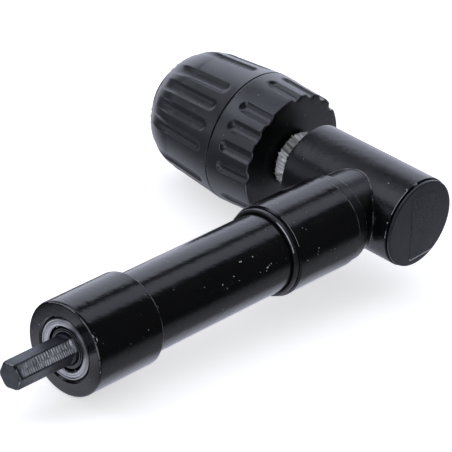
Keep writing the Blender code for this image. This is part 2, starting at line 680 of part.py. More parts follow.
def spindle_train(axis):
    """Spindle, its gear, pin, snap ring and two bearings."""
    bearing("spindle_bearing", axis, SPINDLE_BEARING_FROM, SPINDLE_BEARING_BORE,
            SPINDLE_BEARING_OUTER, SPINDLE_BEARING_WIDTH)
    bearing("tail_bearing", axis, TAIL_BEARING_FROM, TAIL_BEARING_BORE, TAIL_BEARING_OUTER,
            TAIL_BEARING_WIDTH)
    spindle = spindle_shaft(axis)
    half_tooth = math.pi / GEAR_TEETH
    hub_to = SPINDLE_BEARING_FROM - FIT - BACK_TO_HANDLE
    gear = bevel_gear("spindle_gear", axis, BACK_TO_HANDLE, hub_to, math.pi + half_tooth)
    pin_at = BACK_TO_HANDLE + (HUB_FROM + hub_to) / 2
    cross_pin("gear_pin", axis, pin_at, HUB_R - FIT, [spindle, gear])
    snap_ring("spindle_snap_ring", axis, SPINDLE_BEARING_TO + FIT, SPINDLE_R - SNAP_GROOVE + FIT / 2,
              SPINDLE_R - SNAP_GROOVE + SNAP_RING_DEPTH)


def jaw_axis_radius(along):
    return JAW_AXIS_AT_TIP + (JAW_TIP - along) * math.tan(JAW_TILT)


def jaw_cover_radius(along):
    """Radius of the cone that just covers the jaws."""
    return jaw_axis_radius(along) + JAW_RADIUS / math.cos(JAW_TILT)


def jaw_frame(index):
    """Frame of one jaw: Z along its slide, X away from the spindle's axis."""
    around = Matrix.Rotation(math.tau * index / JAW_COUNT, 4, "Z")
    place = Matrix.Translation((JAW_AXIS_AT_TIP, 0, JAW_TIP))
    return around @ place @ Matrix.Rotation(-JAW_TILT, 4, "Y")


def slice_off(bm, point, normal):
    geometry = bm.verts[:] + bm.edges[:] + bm.faces[:]
    result = bmesh.ops.bisect_plane(bm, geom=geometry, plane_co=point, plane_no=normal, clear_outer=True)
    edges = [item for item in result["geom_cut"] if isinstance(item, bmesh.types.BMEdge)]
    bmesh.ops.edgeloop_fill(bm, edges=edges)


def jaw_mesh():
    """Round jaw cut by its front plane, its gripping land and the two planes beside its neighbours."""
    bm = bmesh.new()
    start = Matrix.Translation((0, 0, -JAW_LENGTH / 2 + JAW_RADIUS))
    bmesh.ops.create_cone(bm, cap_ends=True, segments=SEGMENTS_INSIDE, radius1=JAW_RADIUS,
                          radius2=JAW_RADIUS, depth=JAW_LENGTH + 2 * JAW_RADIUS, matrix=start)
    to_spindle = Matrix.Rotation(JAW_TILT, 3, "Y")
    forward = to_spindle @ Vector((0, 0, 1))
    inward = to_spindle @ Vector((-1, 0, 0))
    slice_off(bm, Vector(), forward)
    land_point = inward * JAW_AXIS_OFFSET
    slice_off(bm, land_point, inward)
    wedge_point = land_point + inward * JAW_LAND / 2 / math.tan(math.pi / JAW_COUNT)
    for side in (-1, 1):
        turned = Vector((-math.sin(math.pi / JAW_COUNT), side * math.cos(math.pi / JAW_COUNT), 0))
        slice_off(bm, wedge_point, to_spindle @ turned)
    return mesh_from("jaw", bm)


def jaws(axis):
    shape = jaw_mesh()
    for index in range(JAW_COUNT):
        jaw = add_object("jaw_%d" % (index + 1), shape.copy(), axis)
        jaw.matrix_local = jaw_frame(index)
        gear_steel(jaw)


def jaw_bores(axis):
    bores = []
    for index in range(JAW_COUNT):
        bore = rod("jaw_bore_%d" % index, JAW_RADIUS + JAW_GAP, -JAW_LENGTH - FIT, JAW_LENGTH, axis)
        bore.matrix_local = jaw_frame(index)
        bores.append(bore)
    return bores


def chuck_body(axis):
    """Steel body of the chuck with its thread bore, jaw bores, flanges and nut groove."""
    thread_r = SPINDLE_THREAD_RADIUS + FIT
    flange_r = CHUCK_REAR_RADIUS - SLEEVE_SHELL
    shoulder = NUT_TO + FIT
    shoulder_r = jaw_cover_radius(shoulder) + JAW_GAP + NOSE_WALL
    nose_step = FRONT_SLEEVE_TO - SLEEVE_LIP - FIT
    outline = [
        (HUB_BACK, thread_r), (HUB_BACK, HUB_RADIUS), (BACK_FLANGE_FROM, HUB_RADIUS),
        (BACK_FLANGE_FROM, flange_r), (BACK_FLANGE_TO, flange_r), (BACK_FLANGE_TO, WAIST_RADIUS),
        (FLANGE_FROM, WAIST_RADIUS), (FLANGE_FROM, NUT_RADIUS), (FLANGE_TO, NUT_RADIUS),
        (FLANGE_TO, jaw_cover_radius(FLANGE_TO) - JAW_PROUD),
        (shoulder, jaw_cover_radius(shoulder) - JAW_PROUD), (shoulder, shoulder_r),
        (nose_step, shoulder_r), (nose_step, NOSE_RADIUS), (NOSE_TO - NOSE_CHAMFER, NOSE_RADIUS),
        (NOSE_TO, NOSE_RADIUS - NOSE_CHAMFER), (NOSE_TO, CHUCK_BORE_RADIUS + NOSE_CHAMFER),
        (NOSE_TO - NOSE_CHAMFER, CHUCK_BORE_RADIUS), (WEB_TO, CHUCK_BORE_RADIUS),
        (WEB_TO, SCREW_RADIUS + FIT), (WEB_FROM, SCREW_RADIUS + FIT), (WEB_FROM, thread_r)]
    body = revolve("chuck_body", outline, axis, SEGMENTS_CHUCK)
    for bore in jaw_bores(axis):
        combine(body, bore)
    return gear_steel(weld(body))


def chuck_screw(axis):
    """Screw through the chuck's web into the end of the spindle, with a socket in its head."""
    head_from = WEB_TO + FIT
    head_to = head_from + SCREW_HEAD_LENGTH
    socket_from = head_to - SCREW_SOCKET_DEPTH
    shank_from = THREAD_TO - SCREW_REACH
    return dark_steel(revolve("chuck_screw", [
        (shank_from, 0), (shank_from, SCREW_RADIUS), (head_from, SCREW_RADIUS),
        (head_from, SCREW_HEAD_RADIUS), (head_to, SCREW_HEAD_RADIUS), (head_to, SCREW_SOCKET_RADIUS),
        (socket_from, SCREW_SOCKET_RADIUS), (socket_from, 0)], axis))


def hub_ring(axis):
    """Bright notched ring on the chuck's hub, seen between the chuck and the head."""
    front = CHUCK_REAR - FIT
    notch_from = front - HUB_RING_NOTCH_DEPTH
    inner = HUB_RADIUS + FIT
    steps = 4
    rings = []
    for notch in range(HUB_RING_NOTCHES):
        for step in range(steps):
            turn = math.tau * (notch + step / steps) / HUB_RING_NOTCHES
            end = notch_from if step in (1, 2) else front
            rings.append([polar(inner, turn, HUB_BACK), polar(HUB_RING_RADIUS, turn, HUB_BACK),
                          polar(HUB_RING_RADIUS, turn, end), polar(inner, turn, end)])
    return bright_steel(skin("hub_ring", rings, axis, closed=True))


def nose_ring(axis):
    """Serrated steel ring that keeps the front sleeve on the nose."""
    inner = NOSE_RADIUS + FIT
    rings = []
    for tooth in range(NOSE_RING_TEETH):
        for share, drop in NOSE_RING_TOOTH:
            turn = math.tau * (tooth + share) / NOSE_RING_TEETH
            rings.append([polar(inner, turn, NOSE_RING_FROM),
                          polar(dome_radius(NOSE_RING_FROM) - drop, turn, NOSE_RING_FROM),
                          polar(dome_radius(NOSE_RING_TO) - drop, turn, NOSE_RING_TO),
                          polar(inner, turn, NOSE_RING_TO)])
    return dark_steel(skin("nose_ring", rings, axis, closed=True))


def dome_radius(along):
    """Outside of the front sleeve: a straight taper, then part of an ellipse."""
    if along <= TAPER_TO:
        share = (along - FRONT_SLEEVE_FROM) / FRONT_TAPER_LENGTH
        return CHUCK_SEAM_RADIUS + (FRONT_TAPER_RADIUS - CHUCK_SEAM_RADIUS) * share
    share = (along - TAPER_TO) / DOME_LENGTH
    return FRONT_TAPER_RADIUS - DOME_DROP * (1 - math.sqrt(1 - share * share))


def rear_radius(along):
    share = (along - CHUCK_REAR) / REAR_SLEEVE_LENGTH
    return CHUCK_REAR_RADIUS + (CHUCK_SEAM_RADIUS - CHUCK_REAR_RADIUS) * share


def flute_cutters(name, axis, path, first_angle):
    """Round ended troughs: a circle swept along the path, repeated in groups around the axis."""
    reach = FLUTE_RADIUS
    points = [Vector(point) for point in path]
    start_way = (points[1] - points[0]).normalized()
    end_way = (points[-1] - points[-2]).normalized()
    stations = []
    for share in FLUTE_END_SHARES:
        stations.append((points[0] - start_way * reach * math.sqrt(1 - share * share), start_way, share))
    stations += [(point, None, 1) for point in points]
    for share in reversed(FLUTE_END_SHARES):
        stations.append((points[-1] + end_way * reach * math.sqrt(1 - share * share), end_way, share))
    centres = [station[0] for station in stations]
    rings = []
    for index, (centre, way, share) in enumerate(stations):
        if way is None:
            way = (centres[index + 1] - centres[index - 1]).normalized()
        outward = Vector((-way.y, way.x))
        ring = []
        for side in range(FLUTE_SIDES):
            angle = math.tau * side / FLUTE_SIDES
            lift = outward * reach * share * math.cos(angle)
            sideways = reach * share * math.sin(angle)
            ring.append(Vector((centre.y + lift.y, sideways, centre.x + lift.x)))
        rings.append(ring)
    cutters = []
    for group in range(FLUTE_GROUPS):
        for flute in range(FLUTES_IN_GROUP):
            turn = first_angle + math.tau * group / FLUTE_GROUPS + FLUTE_PITCH * flute
            cutter = skin("flute", rings, axis, closed=False)
            cutter.rotation_euler = (0, 0, turn)
            cutters.append(cutter)
    return join_tools(name, cutters)


def rear_sleeve(axis):
    """Fluted cup around the back of the chuck, which turns with the chuck's body."""
    inner = CHUCK_REAR_RADIUS - SLEEVE_SHELL + FIT
    hole = HUB_RING_RADIUS + FIT
    floor = CHUCK_REAR + REAR_SLEEVE_FLOOR
    sleeve = revolve("rear_sleeve", [(CHUCK_REAR, hole), (CHUCK_REAR, CHUCK_REAR_RADIUS, EDGE),
                                     (REAR_SLEEVE_TO, CHUCK_SEAM_RADIUS, EDGE / 2),
                                     (REAR_SLEEVE_TO, inner), (floor, inner), (floor, hole)],
                     axis, SEGMENTS_OUTSIDE)
    stand_off = FLUTE_RADIUS - FLUTE_DEPTH
    last = CHUCK_REAR + REAR_FLUTE_END - FLUTE_RADIUS
    first = CHUCK_REAR - 2 * FLUTE_RADIUS
    path = [(along, rear_radius(along) + stand_off) for along in (first, last)]
    combine(sleeve, flute_cutters("rear_flutes", axis, path, REAR_FLUTE_START))
    return charcoal_plastic(weld(sleeve))


def front_sleeve(axis):
    """Domed and fluted sleeve that turns the nut."""
    wide_r = CHUCK_SEAM_RADIUS - SLEEVE_SHELL
    lip_r = NOSE_RADIUS + FIT
    lip_from = FRONT_SLEEVE_TO - SLEEVE_LIP
    outline = [(FRONT_SLEEVE_FROM, wide_r), (FRONT_SLEEVE_FROM, CHUCK_SEAM_RADIUS, EDGE / 2)]
    for step in range(DOME_STEPS + 1):
        along = TAPER_TO + DOME_SHOWN * step / DOME_STEPS
        outline.append((along, dome_radius(along)))
    cone_r = jaw_cover_radius(NUT_TO) + SLEEVE_CONE_ROOM
    step_to = FLANGE_FROM - FIT
    outline += [(FRONT_SLEEVE_TO, lip_r), (lip_from, lip_r), (lip_from, cone_r),
                (NUT_TO, SLEEVE_BORE_R), (step_to, SLEEVE_BORE_R), (step_to - SLEEVE_INNER_STEP, wide_r)]
    sleeve = revolve("front_sleeve", outline, axis, SEGMENTS_OUTSIDE)
    stand_off = FLUTE_RADIUS - FLUTE_DEPTH
    first = FRONT_SLEEVE_FROM + FRONT_FLUTE_REST + FLUTE_RADIUS / 2
    path = [(first, dome_radius(first) + stand_off), (TAPER_TO, FRONT_TAPER_RADIUS + stand_off)]
    for step in range(1, DOME_STEPS):
        along = TAPER_TO + DOME_SHOWN * step / DOME_STEPS
        path.append((along, dome_radius(along) + stand_off))
    combine(sleeve, flute_cutters("front_flutes", axis, path, FRONT_FLUTE_START))
    return charcoal_plastic(weld(sleeve))


def nut_pieces(axis):
    """Split nut, the band that holds its halves together, and the thrust bearing behind it."""
    gap = FIT / 2 / NUT_RADIUS
    section = ((jaw_cover_radius(NUT_FROM) + FIT, NUT_FROM), (NUT_RADIUS, NUT_FROM),
               (NUT_RADIUS, NUT_TO), (jaw_cover_radius(NUT_TO) + FIT, NUT_TO))
    for half in (0, 1):
        start = half * math.pi + gap
        sweep = math.pi - 2 * gap
        rings = [[polar(radius, start + sweep * step / NUT_STEPS, along) for radius, along in section]
                 for step in range(NUT_STEPS + 1)]
        gear_steel(skin("nut_half_%d" % (half + 1), rings, axis, closed=False))
    dark_steel(revolve("nut_band", [(NUT_FROM, NUT_RADIUS + FIT), (NUT_FROM, BAND_R), (NUT_TO, BAND_R),
                                    (NUT_TO, NUT_RADIUS + FIT)], axis, SEGMENTS_CHUCK))
    inner = jaw_cover_radius(RACE_FROM) + FIT
    bright_steel(revolve("thrust_race", [(RACE_FROM, inner), (RACE_FROM, NUT_RADIUS),
                                         (RACE_TO, NUT_RADIUS), (RACE_TO, inner)], axis, SEGMENTS_CHUCK))
    pitch = (jaw_cover_radius(CAGE_FROM) + FIT + NUT_RADIUS) / 2
    bright_steel(ball_cage("thrust_balls", axis, CAGE_FROM + THRUST_BALL_RADIUS, pitch,
                           THRUST_BALL_RADIUS, THRUST_BALL_COUNT))


def build():
    clear_scene()
    spindle_axis = axis_empty("spindle_axis", (0, 0, 0), (-math.pi / 2, 0, 0))
    handle_axis = axis_empty("handle_axis", (0, BACK_TO_HANDLE, 0), (0, -math.pi / 2, 0))
    head_housing(spindle_axis, handle_axis)
    end_cap(spindle_axis)
    ring_nut(spindle_axis)
    handle_pieces(handle_axis)
    input_train(handle_axis)
    spindle_train(spindle_axis)
    chuck_body(spindle_axis)
    chuck_screw(spindle_axis)
    hub_ring(spindle_axis)
    nose_ring(spindle_axis)
    rear_sleeve(spindle_axis)
    front_sleeve(spindle_axis)
    nut_pieces(spindle_axis)
    jaws(spindle_axis)


build()
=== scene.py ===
"""Right angle drill adapter: the visual model and the studio around it.

The scene is in metres in the row frame, and the sizes here are in millimetres unless they say
otherwise. The spindle runs along +Y and the handle along -X.
"""

import json
import math
from collections import namedtuple
from functools import cached_property

import bmesh
import bpy
from mathutils import Matrix, Vector


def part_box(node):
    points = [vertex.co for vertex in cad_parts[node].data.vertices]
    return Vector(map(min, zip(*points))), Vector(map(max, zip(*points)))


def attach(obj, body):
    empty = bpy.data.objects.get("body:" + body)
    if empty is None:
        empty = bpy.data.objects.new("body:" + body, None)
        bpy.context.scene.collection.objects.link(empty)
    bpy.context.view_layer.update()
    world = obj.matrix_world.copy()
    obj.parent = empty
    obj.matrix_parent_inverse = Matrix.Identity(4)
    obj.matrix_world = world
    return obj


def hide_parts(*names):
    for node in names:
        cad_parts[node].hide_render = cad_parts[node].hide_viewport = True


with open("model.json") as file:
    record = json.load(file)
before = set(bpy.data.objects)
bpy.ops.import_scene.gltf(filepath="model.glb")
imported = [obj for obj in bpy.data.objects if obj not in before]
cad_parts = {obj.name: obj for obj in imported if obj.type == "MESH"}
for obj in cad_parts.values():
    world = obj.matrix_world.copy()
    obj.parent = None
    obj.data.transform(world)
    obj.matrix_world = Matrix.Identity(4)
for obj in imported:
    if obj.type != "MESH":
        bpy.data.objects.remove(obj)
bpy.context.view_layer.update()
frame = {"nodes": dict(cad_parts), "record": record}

MM = 0.001
FILLET_STEPS = 4
SEGMENTS = 128
ON_AXIS = 1e-6
# Angle in degrees above which an edge stays sharp
SHARP = 30
# Clearance between two pieces
GAP = 0.3
# Place of the handle's axis along the spindle
HANDLE_Y = sum(corner[1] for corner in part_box("handle_tube")) / 2 / MM

Place = namedtuple("Place", "low high radius")


def on_handle(node):
    """Start, end and radius of a node along the handle."""
    low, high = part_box(node)
    return Place(-high[0] / MM, -low[0] / MM, high[2] / MM)


def on_spindle(node):
    """The same along the spindle."""
    low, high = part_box(node)
    return Place(low[1] / MM, high[1] / MM, high[0] / MM)


# Mesh making


def rounded(corners):
    """Outline from corners (along, radius) or (along, radius, fillet)."""
    points = []
    count = len(corners)
    for index, corner in enumerate(corners):
        here = Vector(corner[:2])
        if len(corner) < 3 or corner[2] <= 0:
            points.append((here.x, here.y))
            continue
        before = (Vector(corners[index - 1][:2]) - here).normalized()
        after = (Vector(corners[(index + 1) % count][:2]) - here).normalized()
        half = before.angle(after) / 2
        centre = here + (before + after).normalized() * corner[2] / math.sin(half)
        start = here + before * corner[2] / math.tan(half) - centre
        turn = (math.pi - 2 * half) * (1 if before.cross(after) < 0 else -1)
        for step in range(FILLET_STEPS + 1):
            angle = turn * step / FILLET_STEPS
            points.append((centre.x + start.x * math.cos(angle) - start.y * math.sin(angle),
                           centre.y + start.x * math.sin(angle) + start.y * math.cos(angle)))
    return points


def place(axis, along, radius, angle):
    """Point at an angle around the handle's or the spindle's axis, in metres."""
    across = radius * math.cos(angle)
    z = radius * math.sin(angle) * MM
    return (-along * MM, (HANDLE_Y + across) * MM, z) if axis == "handle" else (across * MM, along * MM, z)


def off_spindle(spot):
    """Distance of a place in millimetres from the spindle's axis."""
    return math.hypot(spot.x, spot.z)


def off_handle(spot):
    """Distance of a place in millimetres from the handle's axis."""
    return math.hypot(spot.y - HANDLE_Y, spot.z)


def new_object(name, data):
    thing = bpy.data.objects.new(name, data)
    bpy.context.scene.collection.objects.link(thing)
    return thing


def shade(thing, sharp=SHARP):
    """Smooth shading, with edges that stay sharp above an angle in degrees."""
    thing.data.shade_smooth()
    thing.data.set_sharp_from_angle(angle=math.radians(sharp))
    modifier = thing.modifiers.new("weighted_normals", "WEIGHTED_NORMAL")
    modifier.keep_sharp = True


def mesh_object(name, vertices, faces, sharp=SHARP):
    mesh = bpy.data.meshes.new(name)
    mesh.from_pydata(vertices, [], faces)
    bm = bmesh.new()
    bm.from_mesh(mesh)
    bmesh.ops.recalc_face_normals(bm, faces=bm.faces)
    bm.to_mesh(mesh)
    bm.free()
    thing = new_object(name, mesh)
    shade(thing, sharp)
    return thing


def ring_faces(loops, closed):
    """Faces between loops of vertex numbers. A loop of one number is a pole."""
    faces = []
    pairs = list(zip(loops, loops[1:]))
    if closed:
        pairs.append((loops[-1], loops[0]))
    for first, second in pairs:
        count = max(len(first), len(second))
        if count == 1:
            continue
        for index in range(count):
            after = (index + 1) % count
            face = [first[index % len(first)], first[after % len(first)],
                    second[after % len(second)], second[index % len(second)]]
            unique = list(dict.fromkeys(face))
            if len(unique) > 2:
                faces.append(unique)
    return faces


def shaped(name, axis, rings, closed, sharp=SHARP):
    """Piece of rings, each a list of (along, radius, angle). A ring of one point is a pole."""
    vertices = []
    loops = []
    for ring in rings:
        loops.append(list(range(len(vertices), len(vertices) + len(ring))))
        vertices += [place(axis, *point) for point in ring]
    faces = ring_faces(loops, closed)
    if not closed:
        faces += [loop for loop in (loops[0], loops[-1]) if len(loop) > 1]
    return mesh_object(name, vertices, faces, sharp)


def turned(name, axis, corners, segments=SEGMENTS):
    """Piece turned on the axis. Its outline closes on itself unless it starts on the centre line."""
    rings = [[(along, radius, math.tau * index / segments)
              for index in range(1 if radius < ON_AXIS else segments)]
             for along, radius in rounded(corners)]
    return shaped(name, axis, rings, min(len(ring) for ring in rings) > 1)


def cut(target, tool, operation="DIFFERENCE"):
    """Boolean done at once, so that the tool doesn't stay in the scene."""
    target.modifiers.clear()
    modifier = target.modifiers.new("cut", "BOOLEAN")
    modifier.operation = operation
    modifier.solver = "EXACT"
    modifier.object = tool
    graph = bpy.context.evaluated_depsgraph_get()
    mesh = bpy.data.meshes.new_from_object(target.evaluated_get(graph))
    target.modifiers.clear()
    old = target.data
    target.data = mesh
    bpy.data.meshes.remove(old)
    bpy.data.objects.remove(tool, do_unlink=True)


def join(target, other):
    """Adds the other object's mesh to the target's, and removes the other."""
    bm = bmesh.new()
    bm.from_mesh(target.data)
    bm.from_mesh(other.data)
    bm.to_mesh(target.data)
    bm.free()
    bpy.data.objects.remove(other, do_unlink=True)


# Materials


# Sockets of a mix node: share, first, second and result
MIX_SOCKETS = {"RGBA": (0, 6, 7, 2), "FLOAT": (0, 2, 3, 0)}


class Nodes:
    """Short way to write a material's or the world's nodes."""

    def __init__(self, owner, shader):
        owner.use_nodes = True
        self.owner = owner
        self.tree = owner.node_tree
        self.shader = self.tree.nodes[shader]

    @cached_property
    def place(self):
        return self.make("TexCoord", {})["Object"]

    def set(self, **values):
        for key, value in values.items():
            self.shader.inputs[key.replace("_", " ")].default_value = value

    def connect(self, output, socket):
        self.tree.links.new(output, self.shader.inputs[socket])

    def make(self, kind, values, **settings):
        """Outputs of a new node, with its inputs linked or set."""
        node = self.tree.nodes.new("ShaderNode" + kind)
        for key, value in settings.items():
            setattr(node, key, value)
        for socket, value in values.items():
            if hasattr(value, "is_output"):
                self.tree.links.new(value, node.inputs[socket])
            else:
                node.inputs[socket].default_value = value
        return node.outputs

    def distance(self, spot, stretch=(1.0, 1.0, 1.0)):
        """Distance in metres from a place in millimetres, with each axis stretched by a factor."""
        there = tuple(part * factor * MM for part, factor in zip(spot, stretch))
        return self.make("VectorMath", {0: self.scaled(stretch), 1: there}, operation="DISTANCE")["Value"]

    def scaled(self, scale):
        """Coordinates stretched by a factor on each axis."""
        return self.make("Mapping", {"Vector": self.place, "Scale": scale})["Vector"]

    def noise(self, scale, detail=3.0, rough=0.5, vector=None):
        return self.make("TexNoise", {"Vector": vector or self.place, "Scale": scale,
                                      "Detail": detail, "Roughness": rough})["Fac"]

    def noise_along(self, value, scale):
        """Noise along one value."""
        return self.make("TexNoise", {"W": value, "Scale": scale}, noise_dimensions="1D")["Fac"]

    def ramp(self, value, start, end, low=0.0, high=1.0, smooth=False):
        return self.make("MapRange", {"Value": value, "From Min": start, "From Max": end,
                                      "To Min": low, "To Max": high},
                         interpolation_type="SMOOTHSTEP" if smooth else "LINEAR")["Result"]

    def fade(self, value, start, end, low=0.0, high=1.0):
        """Soft ramp between two places in millimetres."""
        return self.ramp(value, start * MM, end * MM, low, high, smooth=True)

    def math(self, operation, *values):
        return self.make("Math", dict(enumerate(values)), operation=operation)[0]

    def plus(self, first, second):
        return self.math("ADD", first, second)

    def times(self, first, second):
        return self.math("MULTIPLY", first, second)

    def axes(self):
        return self.make("SeparateXYZ", {"Vector": self.place})

    def mix_of(self, kind, *values):
        """Mix node, whose sockets depend on what it mixes."""
        *sockets, result = MIX_SOCKETS[kind]
        return self.make("Mix", dict(zip(sockets, values)), data_type=kind)[result]

    def mix(self, share, *colors):
        """Colour between two others."""
        return self.mix_of("RGBA", share, *[value if hasattr(value, "is_output") else (*value, 1)
                                            for value in colors])

    def mixed(self, *values):
        """Number between two others, by its share."""
        return self.mix_of("FLOAT", *values)

    def paint(self, color, rough):
        self.connect(color, "Base Color")
        self.connect(rough, "Roughness")

    def bump(self, height, strength, distance):
        values = {"Height": height, "Strength": strength, "Distance": distance}
        self.connect(self.make("Bump", values)["Normal"], "Normal")


def material(name):
    return Nodes(bpy.data.materials.new(name), "Principled BSDF")


def dimmed(color, factor):
    return tuple(factor * part for part in color)


CELL_SPREAD = 7.3


def specks(m, scale, share, size):
    """Round specks in a share of the cells. Their largest size is a part of a cell."""
    cell = m.make("TexVoronoi", {"Vector": m.place, "Scale": scale})
    own = m.math("FRACT", m.times(cell["Color"], CELL_SPREAD))
    return m.math("LESS_THAN", cell["Distance"], m.ramp(own, 1.0 - share, 1.0, 0.0, size))


BLACK_PAINT = (0.0035, 0.0038, 0.0045)
PAINT_DUST = (0.030, 0.033, 0.040)
CHIPPED = (0.62, 0.63, 0.66)
MARK_REACH = 1.6


def gloss_black(name, rough, peel, marks):
    """Gloss black paint with orange peel, streaks of dust, specks and larger chips at the marks.

    Each mark is a place in millimetres with its reach, and it may name a stretch for each axis.
    """
    m = material(name)
    chip = m.math("MAXIMUM", specks(m, 330, 0.09, 0.05), specks(m, 780, 0.20, 0.11))
    torn = m.noise(2600, 3.0, 0.7)
    for spot, reach, *stretch in marks:
        near = m.ramp(m.distance(spot, *stretch), 0.0, MARK_REACH * reach * MM, 0.75, 0.25)
        chip = m.math("MAXIMUM", chip, m.math("GREATER_THAN", near, torn))
    streak = m.noise(95, 4.0, 0.65, m.scaled((1.0, 0.35, 2.6)))
    dust = m.ramp(streak, 0.60, 0.80, 0.0, 0.25, smooth=True)
    color = m.mix(dust, BLACK_PAINT, PAINT_DUST)
    patch = m.ramp(m.noise(38, 4.0, 0.6), 0.3, 0.75, rough - 0.05, rough + 0.06)
    m.paint(m.mix(chip, color, CHIPPED), m.mixed(chip, patch, 0.6))
    waves = m.plus(m.noise(420, 2.0), m.times(m.noise(1900, 2.0), 0.45))
    m.bump(waves, peel, 0.0006)
    return m.owner


BAND_SCALE = 2600.0


def turned_steel(name, base, rough, axis, metallic=0.9, ring_scale=4200.0, depth=0.10, bands=0.0):
    """Steel with the fine rings that turning leaves, soft stains, and bands where it is darker."""
    m = material(name)
    x, y, z = m.axes()
    first = m.math("SUBTRACT", y, HANDLE_Y * MM) if axis == "handle" else x
    radius = m.math("SQRT", m.plus(m.times(first, first), m.times(z, z)))
    both = m.make("CombineXYZ", {"X": radius, "Y": x if axis == "handle" else y})["Vector"]
    rings = m.make("TexNoise", {"Vector": both, "Scale": ring_scale, "Detail": 2.0},
                   noise_dimensions="2D")["Fac"]
    stain = m.noise(120, 4.0, 0.6)
    color = m.mix(m.ramp(stain, 0.35, 0.7), dimmed(base, 0.62), base)
    dark = m.ramp(m.noise_along(radius, BAND_SCALE), 0.42, 0.58, bands, 0.0)
    m.paint(m.mix(dark, color, dimmed(base, 0.25)),
            m.ramp(m.plus(stain, m.times(rings, 0.5)), 0.4, 1.1, rough - 0.06, rough + 0.10))
    m.bump(rings, depth, 0.0002)
    m.set(Metallic=metallic)
    return m.owner


def worn_steel(name, base, rough, metallic=0.9):
    """Steel with scattered scratches and stains, for gears, balls and jaws."""
    m = material(name)
    stain = m.noise(240, 5.0, 0.6)
    scratch = m.noise(900, 3.0, 0.7, m.scaled((0.4, 3.0, 1.0)))
    m.paint(m.mix(m.ramp(stain, 0.35, 0.68), dimmed(base, 0.55), base),
            m.ramp(scratch, 0.3, 0.7, rough - 0.05, rough + 0.12))
    m.bump(scratch, 0.12, 0.0002)
    m.set(Metallic=metallic)
    return m.owner


STREAK_LEAN = 30.0
STREAK_SCALE = 9.0


def streaked_steel(name, base, rough):
    """Bright steel with darker lines along the spindle, and dark stains."""
    m = material(name)
    x, y, z = m.axes()
    around = m.plus(m.math("ARCTAN2", z, x), m.times(y, STREAK_LEAN))
    line = m.noise_along(around, STREAK_SCALE)
    stain = m.noise(320, 4.0, 0.65)
    darkening = m.times(m.ramp(line, 0.35, 0.62), m.ramp(stain, 0.34, 0.56, 0.25, 1.0))
    m.paint(m.mix(darkening, dimmed(base, 0.42), base), m.ramp(stain, 0.3, 0.7, rough + 0.12, rough - 0.06))
    m.bump(line, 0.15, 0.0002)
    m.set(Metallic=0.5)
    return m.owner


CHARCOAL = (0.009, 0.010, 0.0125)
# Colour of the chuck's rear face and bore, painted darker as painted shade
SHADE_CHARCOAL = (0.003, 0.0034, 0.004)
PALE_FLECK = (0.34, 0.35, 0.38)


def moulded_plastic(name, base, specular):
    """Satin charcoal plastic with moulded grain, clouds of dust and pale flecks."""
    m = material(name)
    grain = m.noise(2600, 3.0, 0.6)
    cloud = m.noise(90, 4.0, 0.6)
    fleck = m.math("MAXIMUM", specks(m, 420, 0.16, 0.10), specks(m, 900, 0.2, 0.14))
    fleck = m.times(fleck, 0.7)
    color = m.mix(m.ramp(cloud, 0.3, 0.75), base, dimmed(base, 1.5))
    m.paint(m.mix(fleck, color, PALE_FLECK), m.ramp(cloud, 0.3, 0.7, 0.26, 0.37))
    m.bump(grain, 0.35, 0.0001)
    m.set(Specular_IOR_Level=specular)
    return m.owner


def rubber(name, shine=0.55):
    """Black rubber. Shine is the roughness of its smoothest places."""
    m = material(name)
    grain = m.noise(1800, 3.0, 0.6)
    color = m.mix(m.ramp(grain, 0.3, 0.7), (0.010, 0.010, 0.011), (0.024, 0.024, 0.026))
    m.paint(color, m.ramp(grain, 0.3, 0.7, shine, shine + 0.2))
    m.bump(grain, 0.3, 0.0001)
    return m.owner


BITTEN_FLAT = 138.0
BITE_PITCHES = (1.0, 0.78)
BITE_LEAN = 0.4
BITE_END = -154.3
BITE_START = -153.6
SHANK_DARK = (0.028, 0.031, 0.038)
SHANK_LIGHT = (0.066, 0.072, 0.087)
SHANK_SCUFFED = (0.32, 0.335, 0.375)
SHANK_BITTEN = (0.88, 0.90, 0.95)


